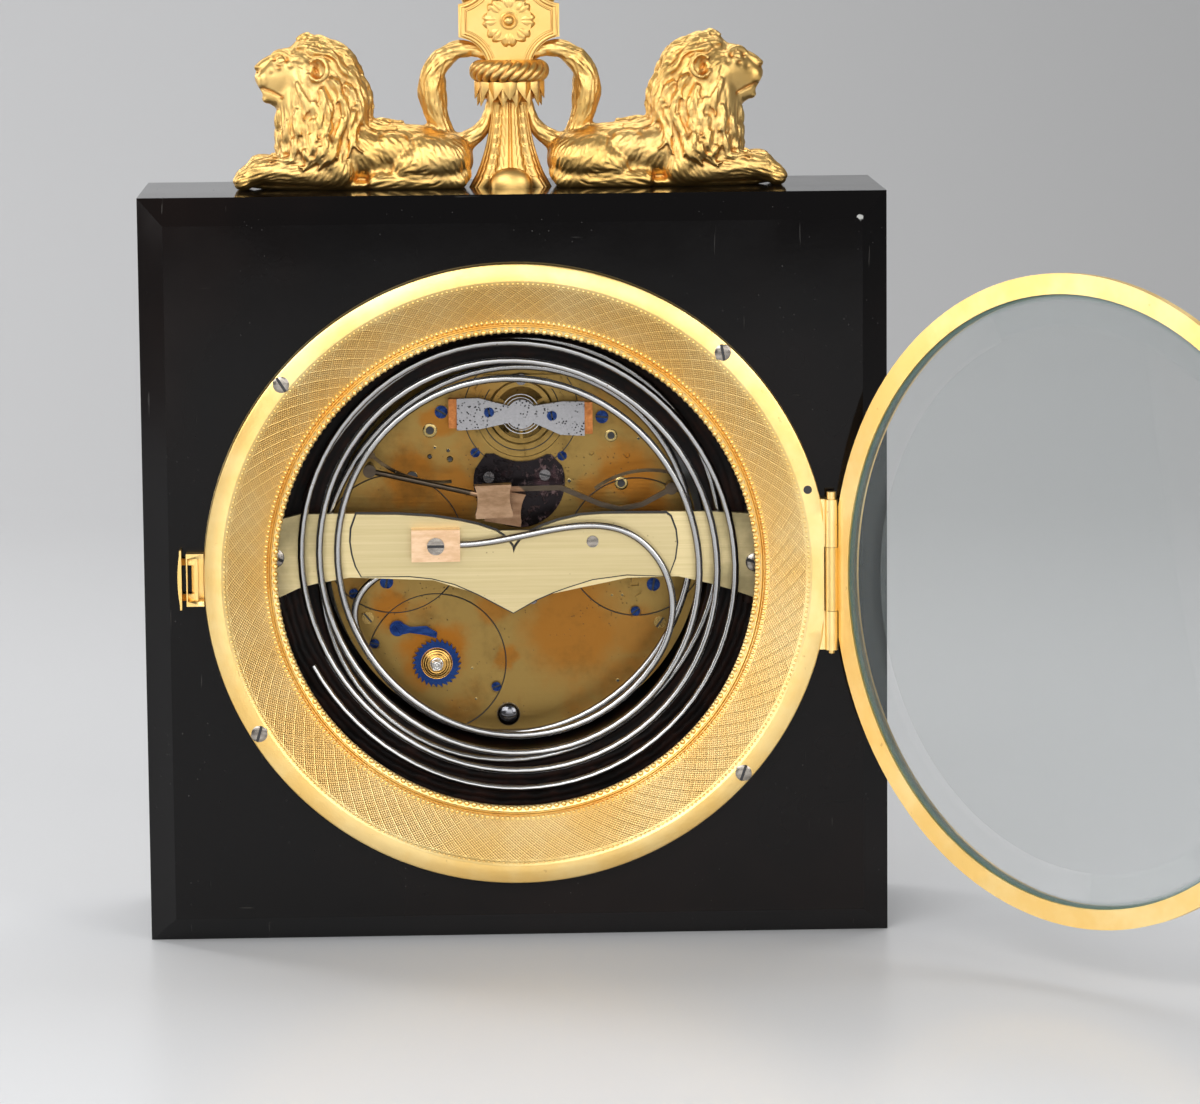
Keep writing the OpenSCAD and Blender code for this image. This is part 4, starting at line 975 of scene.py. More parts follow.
class CLOCK_OT_collar(ClockOperator, bpy.types.Operator):
    """Twists the rope collar under the plaque"""

    bl_idname = "clock.collar"
    bl_label = "Twist the rope collar"

    def build(self, settings):
        ring, thick, lean, deepest = 6.7, 2.6, 0.34, 0.7
        profile = [(0, -thick)]
        for i in range(25):
            a = math.pi * (i / 24 - 0.5)
            profile.append((ring + thick * math.cos(a), thick * math.sin(a)))
        profile.append((0, thick))
        rope = turned(profile, "rope_ribs", (0, 0, COLLAR), steps=360, axis="Z")

        def rib(p, normal):
            out = Vector((p.x, p.y, 0))
            if out.length < ring - 0.3:
                return p
            turn = math.atan2(p.y, p.x) / TAU * settings.ribs - (p.z - COLLAR) * lean
            raised = abs(math.sin(math.pi * turn)) ** 0.6
            away = out.normalized() * (out.length - ring)
            away.z = p.z - COLLAR
            return p - away.normalized() * deepest * (1 - raised)

        reshape(rope, rib)
        mark_hollows(rope, 26, 2)
        place(smooth(rope, 70), "case", "gilt", "gilt_carved", "rope_collar")


def blob(centre, radii, tilt=0.0, side=1):
    """An egg shape whose long axis is tilted in the plane of the flank, in degrees."""
    x, y, z = centre
    at, turn = (x, side * y, TOP + z), about_y(tilt)
    return shape("uv_sphere", at, radii, turn, segments=16, ring_count=10, radius=1)


# Which way the hair lies: x and z above the case, then the direction
HAIR = [
    (-57, 27, 0.9, 0.2), (-54, 29.5, 1, 0.3), (-51, 25, 0.5, -0.85), (-50, 33, 0.8, 0.6),
    (-47, 35, 1, 0.1), (-43, 34, 1, -0.35), (-39, 32, 0.8, -0.6), (-35, 27, 0.55, -0.85),
    (-32.5, 21, 0.1, -1), (-33, 17, -0.35, -0.95), (-46, 30, 0.75, -0.6), (-42, 24, 0.4, -0.9),
    (-38, 19, 0.1, -1), (-47, 22, 0.15, -1), (-50, 18, 0.05, -1), (-45, 15, 0.1, -1),
    (-40, 14, -0.25, -0.95), (-52, 12, 0.2, -1), (-48, 10, 0.15, -1), (-30, 14.5, 1, -0.15),
    (-31, 10, 0.75, -0.65), (-30, 5, 0.5, -0.85), (-39.5, 10, -0.15, -1), (-43, 5, -0.55, -0.8),
    (-50, 4.5, -1, -0.1), (-60, 4, -1, -0.35), (-20, 14.5, 1, -0.15), (-21, 11, 0.45, -0.9),
    (-17, 8, 0.5, -0.9), (-10.5, 8, 0.5, -0.85), (-22, 2, -1, 0), (-29, 2.5, -1, -0.2),
    (-12.6, 31.6, -1, -0.1), (-17.5, 27, -0.4, -0.9), (-18.2, 21.8, 0.05, -1),
    (-17, 17, 0.35, -0.95), (-14.6, 13, 0.45, -0.9), (-9, 11.5, 1, 0.5), (-6, 14, 0.5, 0.87),
    (-4.5, 18, 0.1, 1),
]
# The tail's tuft, from its tip at the shaft down to the haunch, and the low branch to the shaft:
# x, z above the case and half thickness
TUFT = [
    (-4.2, 29.9, 1.3), (-7.5, 31.3, 1.7), (-11.5, 32.2, 1.9), (-15.2, 30.2, 2.2),
    (-17.6, 26.6, 2.8), (-17.9, 22.0, 3.5), (-16.9, 17.2, 2.9), (-14.6, 12, 1.9),
]
LOW_TAIL = [
    (-10, 10.8, 2.1), (-7.4, 12.6, 1.75), (-5.3, 15.2, 1.5), (-4.2, 19.6, 1.4), (-3.4, 21.5, 1.2),
]
# The face, in x and z above the case. Snout and jaw: thickness last. Lids: lift above the skin,
# then thickness, and the wire's own radius. Cuts: depth and width
SNOUT = [(-50.5, 29.4, 1.2), (-53.5, 29.5, 1.0), (-56.0, 28.6, 0.86), (-57.2, 27.7, 0.78)]
JAW = [(-49.5, 21.6, 1.2), (-53.0, 21.3, 0.95), (-55.6, 21.4, 0.75)]
BROW = [
    (-55.0, 30.0, 0.1, 0.5), (-53.9, 31.1, 0.3, 1), (-52.0, 31.5, 0.3, 1), (-49.8, 30.3, 0.1, 0.6),
]
UPPER_LID = [(-54.0, 29.8, 0.3, 0.6), (-52.8, 30.5, 0.5, 1), (-51.4, 29.7, 0.2, 0.6)]
LOWER_LID = [(-54.0, 29.2, 0.3, 0.6), (-52.7, 28.8, 0.4, 1), (-51.3, 29.3, 0.2, 0.6)]
LIDS = ((BROW, 0.72), (UPPER_LID, 0.3), (LOWER_LID, 0.28))
MOUTH = [(-58.6, 23.1), (-56.6, 22.95), (-54.6, 22.3), (-52.4, 21.2)]
FACE_CUTS = [
    (-58.4, 27.3, 0.8, 0.5), (-54.1, 29.9, 0.5, 0.42), (-51.2, 29.8, 0.5, 0.42),
    (-53.0, 28.2, 0.4, 0.6), (-50.4, 28.6, 0.4, 0.7), (-55.0, 27.4, 0.3, 0.7),
    (-44.4, 28.2, 1.1, 1.0), (-44.2, 27.0, 0.9, 0.9),
]
EAR = Vector((-44, 7.2, TOP + 27.8))
# Haunch, shoulder, foreleg, forefoot, ribs and hind foot of one flank: middle (z above the case),
# radii and tilt
MUSCLES = [
    ((-18.0, 5.0, 7.5), (7.0, 3.1, 4.6), 28), ((-41.2, 5.4, 9.2), (3.4, 2.5, 6.6), 24),
    ((-46.0, 5.6, 4.0), (3.6, 2.2, 2.9), -12), ((-55.5, 4.9, 5.3), (2.7, 2.0, 2.0), 10),
    ((-27.5, 5.6, 9.0), (5.0, 2.2, 4.2), -10), ((-12.0, 4.6, 3.4), (3.2, 2.4, 3.0), 0),
]
BASE = Vector((0, 0, TOP))


def hair_way(p):
    """Direction of the hair at a place, in millimetres with z above the case."""
    way = Vector((0, 0, 0))
    for x, z, dx, dz in HAIR:
        near = 1 / (0.3 + ((p.x - x) ** 2 + (p.z - z) ** 2)) ** 2
        way += near * Vector((dx, 0, dz)).normalized()
    return way.normalized()


def on_face(p):
    """How far a place is inside the bare face, from 0 to 1."""
    if p.z <= 18.5:
        return 0.0
    edge = -48.6 - 0.25 * max(0.0, 24 - p.z)
    return min(1.0, max(0.0, (edge - p.x) / 1.6))


def on_mane(p):
    """Whether a place belongs to the mane."""
    if p.z < 9 + max(0.0, p.x + 46) * 0.45 or p.x > -31 or on_face(p) > 0.3:
        return False
    return p.x < -34 or p.z > 15.5


class CLOCK_OT_lions(ClockOperator, bpy.types.Operator):
    """Sculpts the pair of lions"""

    bl_idname = "clock.lions"
    bl_label = "Sculpt the lions"

    def build(self, settings):
        self.dice = random.Random(7)
        coarse, fine = 0.55 * MM, 0.30 * MM
        body = welded("lion_left", "lion")
        modify(body, "REMESH", mode="VOXEL", voxel_size=coarse)
        modify(body, "SMOOTH", factor=0.5, iterations=9)
        reshape(body, lambda p, n: p + n * 0.22)
        self.skin = BVHTree.FromObject(body, bpy.context.evaluated_depsgraph_get())
        parts = [body, *self.muscles(), *self.face(), *self.paws()]
        parts += [self.mane(settings), self.tail()]
        lion = merged(parts, "lion_left_cast")
        modify(lion, "REMESH", mode="VOXEL", voxel_size=fine)
        modify(lion, "SMOOTH", factor=0.5, iterations=2)
        self.comb(lion)
        self.cut_face(lion)
        reshape(lion, lambda p, n: Vector((p.x, p.y, max(p.z, TOP))))
        mark_hollows(lion, 14, 3)
        twin = copy_of(lion, Matrix.Diagonal((-1, 1, 1, 1)))
        twin.data.flip_normals()
        twin.name = "lion_right_cast"
        for side, cast in (("left", lion), ("right", twin)):
            place(smooth(cast, 80), "case", "gilt", "gilt_carved", "lion_" + side)

    def skin_at(self, x, z, side):
        """The flank's surface at x and z, seen from one side."""
        start = Vector((x, side * 30, TOP + z)) * MM
        hit = self.skin.ray_cast(start, Vector((0, -side, 0)))
        return abs(hit[0].y) / MM if hit[0] else 1.0

    def line(self, points, radius, side):
        """A wire over the flank through points of x, z, lift above the skin and share."""
        path = [
            (x, side * (self.skin_at(x, z, side) + lift), TOP + z, share)
            for x, z, lift, share in points
        ]
        return strands([curved(path)], "line", radius, sides=2)

    def muscles(self):
        """Haunches, shoulders and forelegs, and the cast foot that all of them stand on."""
        yield blob((-38.0, 0, 1.1), (24.0, 6.4, 1.9))
        for side in (-1, 1):
            for centre, radii, tilt in MUSCLES:
                yield blob(centre, radii, tilt, side)

    def face(self):
        """Snout, jaw, brows, eyes, cheeks and ears."""
        for run in (SNOUT, JAW):
            yield strands([in_middle(run)], "snout", 1.9, sides=4)
        yield blob((-57.7, 0, 28.1), (1.1, 1.6, 0.85), -12)
        yield blob((-55.6, 0, 20.9), (1.5, 1.5, 1.2), -10)
        for side in (-1, 1):
            yield blob((-56.2, 1.3, 25.3), (2.1, 1.5, 2.25), 8, side)
            yield blob((-51.3, 3.0, 25.4), (2.3, 1.7, 3.0), 10, side)
            eye = self.skin_at(-52.6, 29.7, side)
            yield blob((-52.7, eye - 0.1, 29.7), (0.95, 0.7, 0.8), 0, side)
            for knots, thick in LIDS:
                yield self.line(knots, thick, side)
            rim = []
            for i in range(17):
                a = math.radians(-160 + 19 * i)
                y = 7.7 + 0.9 * math.cos(a + 0.5)
                rim.append((-43.9 + 2.15 * math.cos(a), side * y, EAR.z + 2.5 * math.sin(a), 1))
            yield strands([rim], "ear", 0.75, sides=2)
            yield blob((-43.6, 6.7, 27.8), (2.0, 0.9, 2.3), 0, side)

    def paws(self):
        """Four toes on each paw: how far each is off the middle, and how much longer."""
        for side in (-1, 1):
            for off, long in ((-2.0, 0.0), (-0.7, 0.5), (0.65, 0.6), (1.95, 0.2)):
                yield blob((-61.3 - long, 4.6 + off, 2.2), (2.1, 0.8, 1.6), -14, side)
                x, y = -30.9 - long * 0.6, 6.0 + off * 0.75
                yield blob((x, y, 1.9), (1.7, 0.62, 1.35), -10, side)

    def mane(self, settings):
        """Wavy locks that start on the skin and lie along the hair."""
        roots, paths = [], []
        for root in self.dice_points(on_mane, 9000):
            if len(roots) >= settings.locks:
                break
            if all((root - other).length > 2.5 for other in roots):
                roots.append(root)
                path = self.lock(root)
                if all((Vector((x, abs(y), z)) - EAR).length > 3.2 for x, y, z, _ in path):
                    paths.append(path)
        return strands(paths, "mane", 1.0)

    def dice_points(self, wanted, tries):
        """Random places on the skin, z above the case."""
        for _ in range(tries):
            x, y, z = (self.dice.uniform(*span) for span in ((-54, -30), (-9, 9), (6, 37)))
            hit = self.skin.find_nearest(Vector((x, y, z + TOP)) * MM)
            p = hit[0] / MM - BASE
            if wanted(p):
                yield p

    def lock(self, root):
        """One wavy lock: a path over the skin that swells, lifts and thins towards its end."""
        dice = self.dice
        long, bend = dice.uniform(6.0, 9.0), dice.uniform(0.4, 0.9) * dice.choice((-1, 1))
        phase, path, p = dice.uniform(0, 1), [], root.copy()
        thick = dice.uniform(1.1, 1.5)
        for i in range(11):
            t = i / 10
            hit = self.skin.find_nearest((p + BASE) * MM)
            normal = hit[1]
            ground = hit[0] / MM
            swell = math.sin(math.pi * min(1, t * 1.25 + 0.1))
            share = thick * (0.45 + 0.55 * swell - 0.25 * t * t)
            lift = 0.12 + 0.6 * t * t - 0.25 * share
            path.append((*(ground + normal * lift), max(0.16, share)))
            way = hair_way(p)
            across = way.cross(normal)
            way = way + across * bend * math.sin(TAU * (t * 0.7 + phase)) * 0.6
            p = ground - BASE + way.normalized() * long / 10
        return path

    def tail(self):
        """Long locks that wrap the tuft of the tail."""
        paths = []
        for k in range(14):
            start, stop = self.dice.uniform(0.2, 0.5), self.dice.uniform(0.8, 1.0)
            turn = TAU * k / 14
            path = []
            for i in range(15):
                t = start + (stop - start) * i / 14
                at = t * (len(TUFT) - 1)
                j = min(int(at), len(TUFT) - 2)
                a, b = Vector(TUFT[j]), Vector(TUFT[j + 1])
                x, z, r = a.lerp(b, at - j)
                run = (b - a).to_2d().normalized()
                angle = turn + 2.2 * t + 0.5 * math.sin(5 * t + k)
                out = r * 0.82
                side, height = math.cos(angle) * out, math.sin(angle) * out
                share = 0.28 + 0.5 * math.sin(math.pi * min(1, i / 14 + 0.08))
                path.append((x - run.y * height, side, TOP + z + run.x * height, share))
            paths.append(path)
        core = strands([in_middle(TUFT, 5), in_middle(LOW_TAIL, 5)], "core", 0.96, sides=3)
        return merged([core, strands(paths, "tuft", 1.05)], "tail")

    def comb(self, lion):
        """Presses short strokes into the hair, each along the way that it lies."""
        points = [(v.co / MM, v.normal.copy()) for v in lion.data.vertices]
        tree = KDTree(len(points))
        for i, (p, _) in enumerate(points):
            tree.insert(p, i)
        tree.balance()
        depth = [0.0] * len(points)
        for _ in range(9500):
            at, normal = self.dice.choice(points)
            local = at - BASE
            if local.z < 0.6 or on_face(local) > 0.6:
                continue
            way = hair_way(local) + Vector((0, self.dice.uniform(-0.12, 0.12), 0))
            way = (way - normal * way.dot(normal)).normalized()
            across = normal.cross(way)
            long, wide = self.dice.uniform(1.1, 1.7), self.dice.uniform(0.24, 0.36)
            for co, i, _ in tree.find_range(at, long):
                off = co - at
                a, b = off.dot(way) / long, off.dot(across) / wide
                if abs(b) < 1 and abs(a) < 1:
                    depth[i] += (1 - a * a) * (1 - b * b) * 0.085
        put_points(lion, [p - n * min(d, 0.24) for (p, n), d in zip(points, depth)])

    def cut_face(self, lion):
        """Presses the mouth, nostrils, eye corners and ear hollows into the cast."""
        spots = FACE_CUTS + [(x, z, 0.17, 0.34) for x, z in curved(MOUTH, 14)]

        def press(p, normal):
            z = p.z - TOP
            deep = 0.0
            for x, at, depth, wide in spots:
                gap = ((p.x - x) ** 2 + (z - at) ** 2) / (wide * wide)
                if gap < 9 and abs(p.y) > 0.2:
                    deep += depth * math.exp(-gap)
            return p - normal * deep

        reshape(lion, press)


def curved(knots, steps=6):
    """A smooth run through knots of any length, as a list of tuples."""
    ends = [knots[0], *knots, knots[-1]]
    run = []
    for a, b, c, d in zip(ends, ends[1:], ends[2:], ends[3:]):
        for i in range(steps):
            t = i / steps
            run.append(
                tuple(
                    0.5 * (2 * q + (r - p) * t + (2 * p - 5 * q + 4 * r - s) * t * t
                           + (3 * q - p - 3 * r + s) * t**3)
                    for p, q, r, s in zip(a, b, c, d)
                )
            )
    return [*run, tuple(knots[-1])]


def in_middle(knots, steps=6):
    """A smooth path in the lion's middle plane, from x, z above the case and thickness."""
    return [(x, 0, TOP + z, r) for x, z, r in curved(knots, steps)]


LEAVES = 5  # round the shaft


class CLOCK_OT_shaft(ClockOperator, bpy.types.Operator):
    """Chases the leaves, bosses and crown of the shaft"""

    bl_idname = "clock.shaft"
    bl_label = "Chase the shaft"

    def build(self, settings):
        tall = 21.5
        knots = [(9.0, 0), (8.4, 1.6), (6.9, 5), (5.5, 9.5), (4.6, 14), (4.1, 18.3), (4.0, tall)]
        profile = [(0, 0), *curved(knots, 11), (0, tall)]
        stem = turned(profile, "shaft", (0, 0, TOP), steps=320, axis="Z")
        reshape(stem, self.leaf)
        parts = [stem, *self.crown()]
        for side in (-1, 1):
            at, radii = (0, side * 5.0, TOP + 0.6), (5.0, 2.7, 4.2)
            boss = shape("uv_sphere", at, radii, segments=32, ring_count=20, radius=1)
            reshape(boss, lambda p, n: Vector((p.x, p.y, max(p.z, TOP))))
            parts.append(boss)
        whole = merged(parts, "shaft_chased")
        mark_hollows(whole, 1.6, 2)
        place(smooth(whole, 50), "case", "gilt", "gilt_carved", "ornament_shaft")

    def leaf(self, p, normal):
        """Five leaves with a double rib, notched edges and tips that curl out at the foot."""
        out = Vector((p.x, p.y, 0))
        if out.length < 3.5:
            return p
        z = p.z - TOP
        # Share of a leaf's width from its middle, and how far up the present notch of its edge
        a = (math.atan2(p.y, p.x) / TAU * LEAVES + 16.75) % 1 - 0.5
        up = (z * 0.42) % 1
        half = 0.39 + up * 0.09
        inside = max(0.0, 1 - (abs(a) / half) ** 4)
        rise = 0.95 * inside**0.5
        rise -= 0.34 * math.exp(-(((abs(a) - 0.045) / 0.02) ** 2))
        vein = abs(a) - 0.2 - 0.05 * up
        rise -= 0.2 * math.exp(-((vein / 0.028) ** 2))
        foot = max(0.0, 1 - z / 3.2) ** 2
        rise += foot * (0.5 * inside - 0.9 * (1 - inside))
        p = p + out.normalized() * (rise - 0.75)
        return Vector((p.x, p.y * min(1.0, 0.68 + 0.02 * z), p.z))

    def crown(self):
        """Two tiers of creased pointed leaves below a rim."""
        band = [
            (4.2, 0), (7.0, 0), (7.25, -0.5), (6.9, -1.2), (6.5, -3.3), (4.7, -4.5), (4.0, -4.3),
        ]
        yield turned(band, "band", (0, 0, CROWN), steps=96, axis="Z")
        # Leaves in a tier, share of a step it is turned by, width, height, radius at the top and
        # at the tips, and height of the top above the rim
        for count, shift, wide, tall, top_r, tip_r, top_z in (
            (14, 0.5, 2.6, 4.3, 7.1, 8.3, 0.2), (14, 0.0, 2.0, 4.2, 6.5, 7.5, -1.6),
        ):
            leaf = new("cone", vertices=4, radius1=1, radius2=0, depth=1, end_fill_type="NGON")
            lean = Matrix.Rotation(-math.atan2(tip_r - top_r, tall), 4, "Y")
            at = ((top_r + tip_r) / 2, 0, CROWN + top_z - tall / 2)
            turn = Matrix.Rotation(TAU * shift / count, 4, "Z")
            leaf.data.transform(turn @ sized(at, (1.25, wide, -tall), lean))
            edit(
                leaf,
                ("bevel", dict(offset=0.12 * MM, segments=2)),
                ("normals_make_consistent", dict(inside=False)),
            )
            yield round_about(leaf, count, (0, 0, CROWN), axis=(0, 0, 1))


PETALS = 8
PETAL_OUT = 4.1  # how far the middle of a petal is from the rosette's, in millimetres
PLAQUE_Y = 2.5  # half the plaque's thickness


class CLOCK_OT_plaque(ClockOperator, bpy.types.Operator):
    """Lays the border and the rosettes on the plaque"""

    bl_idname = "clock.plaque"
    bl_label = "Dress the plaque"

    def build(self, settings):
        parts = []
        for side in (-1, 1):
            for inset, thick, lift in ((0.62, 0.50, 0.12), (1.75, 0.26, 0.07)):
                y = side * (PLAQUE_Y + lift)
                parts.append(tube([(x, y, z) for x, z in self.border(inset)], "border", thick))
            at = (0, side * PLAQUE_Y, PLAQUE + PETAL_OUT)
            petal = shape("ico_sphere", at, (2.0, 1.0, 2.2), subdivisions=4, radius=1)
            reshape(petal, self.heart)
            parts.append(round_about(petal, PETALS, (0, side * PLAQUE_Y, PLAQUE)))
            eye = [
                (0, 2.6), (0.5, 2.5), (0.95, 2.2), (1.2, 1.75), (1.25, 1.35), (1.45, 1.3),
                (1.75, 1.5), (2.05, 1.35), (2.2, -0.2),
            ]
            eye = [(r, -side * h) for r, h in eye]
            parts.append(turned(eye, "eye", (0, side * PLAQUE_Y, PLAQUE), steps=48))
        whole = merged(parts, "plaque_relief")
        mark_hollows(whole, 5, 1)
        place(smooth(whole, 50), "case", "gilt", "gilt_carved")

    def border(self, inset):
        """The plaque's outline, moved inwards, from one foot over the top to the other."""
        side, r = 11.6 - inset, 7.5 + inset
        right = []
        low = math.asin((11.2 - 9.2 + inset * 0.3) / r)
        high = math.acos((12.5 - side) / r)
        for i in range(13):
            a = low + (high - low) * i / 12
            right.append((12.5 - r * math.cos(a), -11.2 + r * math.sin(a)))
        right += [(x, -z) for x, z in reversed(right)]
        run = right + [(-x, z) for x, z in reversed(right)]
        return [(x, PLAQUE + z) for x, z in run]

    def heart(self, p, normal):
        """Notches the outer end of a petal and creases its middle."""
        up = (p.z - PLAQUE - PETAL_OUT) / 2.2
        outer, inner = max(0.0, up), max(0.0, -up)
        notch = 0.7 * outer**2 * math.exp(-((p.x / 0.45) ** 2))
        crease = 0.2 * math.exp(-((p.x / 0.16) ** 2)) if abs(up) < 0.8 else 0.0
        pleat = 0.1 * math.exp(-(((abs(p.x) - 0.8) / 0.14) ** 2)) * outer
        fall = (crease + pleat) * (1 if p.y > 0 else -1)
        return Vector((p.x * (1 - 0.4 * inner), p.y - fall, p.z - notch))


NUMERALS = "XII I II III IIII V VI VII VIII IX X XI".split()
WIDTHS = {"I": 2.5, "V": 5.2, "X": 5.2}
THICK, THIN = 1.15, 0.32  # strokes of a numeral, in millimetres
NUMERAL_R, TRACK_R = 43.6, 50.6  # how far numerals and minute marks are from the middle
TRACK_LINES = (49.6, 51.6, 37.6)  # radii of the painted circles
DIAL_Y = 26.505  # where the paint begins, just in front of the enamel's face


def numeral(word, tall=8.4):
    """Bars of a numeral as outlines of four corners, round its own middle."""
    half, h = sum(WIDTHS[c] for c in word) / 2, tall / 2
    bars, at = [], -half

    def stroke(x0, x1, thick):
        t = thick / 2
        bars.append([(x0 - t, h), (x0 + t, h), (x1 + t, -h), (x1 - t, -h)])

    for letter in word:
        wide = WIDTHS[letter]
        if letter == "I":
            stroke(at + wide / 2, at + wide / 2, THICK)
        elif letter == "V":
            stroke(at + 0.95, at + wide / 2, THICK)
            stroke(at + wide - 0.6, at + wide / 2 + 0.25, THIN)
        else:
            stroke(at + 0.95, at + wide - 0.95, THICK)
            stroke(at + wide - 0.8, at + 0.8, THIN)
        at += wide
    end, t = half - 0.2, 0.2
    for z in (h, -h):
        bars.append([(-end, z + t), (end, z + t), (end, z - t), (-end, z - t)])
    return bars


class CLOCK_OT_dial(ClockOperator, bpy.types.Operator):
    """Paints the numerals and the minute track on the dial"""

    bl_idname = "clock.dial"
    bl_label = "Paint the dial"

    def build(self, settings):
        bars = []
        for hour, word in enumerate(NUMERALS):
            bars += [self.at_angle(bar, hour * 30, NUMERAL_R) for bar in numeral(word)]
        for minute in range(60):
            wide = 0.5 if minute % 5 == 0 else 0.16
            tick = [(-wide, 1), (wide, 1), (wide, -1), (-wide, -1)]
            bars.append(self.at_angle(tick, minute * 6, TRACK_R))
        for radius in TRACK_LINES:
            near, far = (
                [(x, z) for x, _, z in circle(0, 0, DIAL.z, radius + off, 180)]
                for off in (-0.11, 0.11)
            )
            for i in range(180):
                j = (i + 1) % 180
                bars.append([near[i], far[i], far[j], near[j]])
        mesh = bpy.data.meshes.new("dial_paint")
        corners = [Vector((x, DIAL_Y, z)) * MM for bar in bars for x, z in bar]
        mesh.from_pydata(corners, [], [range(4 * i, 4 * i + 4) for i in range(len(bars))])
        paint = edit(
            linked("dial_paint", mesh),
            ("extrude_region_move", dict(TRANSFORM_OT_translate=dict(value=(0, 0.05 * MM, 0)))),
            ("normals_make_consistent", dict(inside=False)),
        )
        place(paint, "case", "enamel", "black_paint")

    def at_angle(self, bar, degrees, radius):
        """The outline moved out to its hour. Seen from the dial side, hours run to the right."""
        a = math.radians(degrees)
        out = Vector((-math.sin(a), math.cos(a)))
        along = Vector((-math.cos(a), -math.sin(a)))
        spots = [out * (radius + z) + along * x for x, z in bar]
        return [(v.x, DIAL.z + v.y) for v in spots]


# Pivot holes with oil sinks: x, z, hole and sink radii
HOLES = [
    (-19.4, 114.0, 0.9, 1.7), (22.9, 112.3, 0.8, 1.5), (25.2, 101.0, 0.85, 1.6),
    (-23.7, 103.2, 1.15, 1.35), (-18.3, 110.0, 0.3, 0.4), (-15.2, 109.3, 0.35, 0.5),
    (-19.5, 107.9, 0.4, 0.6), (-14.8, 107.2, 0.5, 0.8), (13.0, 101.8, 0.4, 0.5),
    (29.3, 111.5, 0.3, 0.4), (25.2, 74.6, 0.25, 0.35), (22.8, 74.6, 0.2, 0.3),
    (24.0, 54.3, 0.35, 0.45), (-10.2, 57.7, 0.25, 0.3), (-9.4, 50.4, 0.2, 0.3),
]
# Seams round the flush bridges and rings engraved round the balance: x, z, radius and depth.
# They stop short of the plate's edge.
SEAMS = [
    (*BARREL, 16.28, 2.95), (28.6, 86.0, 16.28, 2.95), (-28.2, 87.4, 16.28, 2.95),
    (1.9, 118.1, 13.4, 2.97), (1.9, 118.1, 9.0, 2.97),
]
PLATE_EDGE = 43.2


class CLOCK_OT_plate_marks(ClockOperator, bpy.types.Operator):
    """Turns the oil sinks, the black discs of painted shade in the pivot holes, the seams and the
    engraved rings of the rear plate
    """

    bl_idname = "clock.plate_marks"
    bl_label = "Mark the rear plate"

    def build(self, settings):
        sinks, holes = [], []
        for x, z, hole, sink in HOLES:
            bowl = [(hole, -0.05), (hole + 0.08, 0.05), (sink - 0.15, 0.08), (sink, -0.02)]
            sinks.append(turned(bowl, "sink", (x, PLATE_Y, z), steps=24))
            # A black disc in each pivot hole: painted shade
            pit = [(0, 0.02), (hole * 0.55, 0.025), (hole, 0.05), (hole + 0.04, -0.04)]
            holes.append(turned(pit, "hole", (x, PLATE_Y, z), steps=20))
        place(smooth(merged(sinks, "oil_sinks"), 40), "case", "brass", "brass_bright")
        for x, z, radius, y in SEAMS:
            ring = circle(x, y, z, radius, 120)
            inside = [math.hypot(p[0], p[2] - DIAL.z) < PLATE_EDGE for p in ring]
            if all(inside):
                holes.append(tube(ring, "seam", 0.13, sides=1, closed=True))
            else:
                first = inside.index(False)
                order = [*range(first, len(ring)), *range(first)]
                holes.append(tube([ring[i] for i in order if inside[i]], "seam", 0.13, sides=1))
        place(merged(holes, "plate_seams_and_hole_shade"), "case", "brass", "black_paint")


class CLOCK_OT_catch(ClockOperator, bpy.types.Operator):
    """Slims the catch, with room for its travel, and lines the recess behind it"""

    bl_idname = "clock.catch"
    bl_label = "Shape the catch"

    def build(self, settings):
        # Where each piece's outer wall begins, its new seat, and the share of thickness that stays
        for node, body, wall, seat, share in (
            ("catch_block", "case", -74.7, -74.7, 0.4),
            ("catch_button", "catch_button", -76.7, -76.05, 0.5),
        ):

            def slim(p, normal):
                outside = p.x <= wall + 0.2
                return Vector((seat + (p.x - wall) * share, p.y, p.z)) if outside else p

            near = reshape(welded(node, node + "_near"), slim)
            place(smooth(near, 30), body, "gilt", "gilt", node)
        plate = shape("cube", (-72.2, -32.58, DIAL.z), (3.4, 0.2, 11.6), size=1)
        edit(
            plate,
            ("subdivide", dict(number_cuts=3)),
            ("bevel", dict(offset=0.05 * MM, segments=2)),
        )
        place(smooth(plate, 40), "case", "gilt", "gilt")


# Section of a rim: radius, and height above the face
RIM = [
    (66.95, 3.3), (66.95, 3.46), (67.1, 3.56), (70.5, 3.56), (70.9, 3.35), (71.1, 2.8),
    (71.15, 1.2), (70.9, 1.2), (70.8, 2.7), (70.3, 3.3), (66.95, 3.3),
]
HINGE_SIDE = 69.6  # how far a rim runs towards the hinge


class CLOCK_OT_rims(ClockOperator, bpy.types.Operator):
    """Lays the flat rims on the bezels, a black disc of painted shade at the pin hole, and a dark
    sheet of painted shadow round the gong plate
    """

    bl_idname = "clock.rims"
    bl_label = "Lay the rims"

    def build(self, settings):
        for side, name in ((1, "rear"), (-1, "front")):
            section, middle = [(r, side * h) for r, h in RIM], (0, -side * FACE, DIAL.z)
            rim = turned(section, name + "_bezel_rim", middle, steps=240)
            reshape(rim, lambda p, n: Vector((min(p.x, HINGE_SIDE), p.y, p.z)))
            place(smooth(rim, 30), "case", "gilt", "gilt")
        # A black disc at the pin hole in the rim: painted shade
        pit = [(0, 3.57), (0.95, 3.59), (1.02, 3.5)]
        hole = turned(pit, "pin_hole_shade", (66.1, -FACE, 103.9), steps=24)
        place(hole, "case", "gilt", "black_paint")

        # A dark sheet a little wider than the gong plate, lying on the strap: painted shadow round
        # the plate's edge
        def spread(p, normal):
            at = p + Vector((normal.x, 0, normal.z)).normalized() * 0.45
            return Vector((at.x, -10.62 if p.y < -11.2 else -10.38, at.z))

        plate_shadow = reshape(welded("gong_plate", "gong_plate_shadow"), spread)
        place(plate_shadow, "case", "brass", "black_paint")


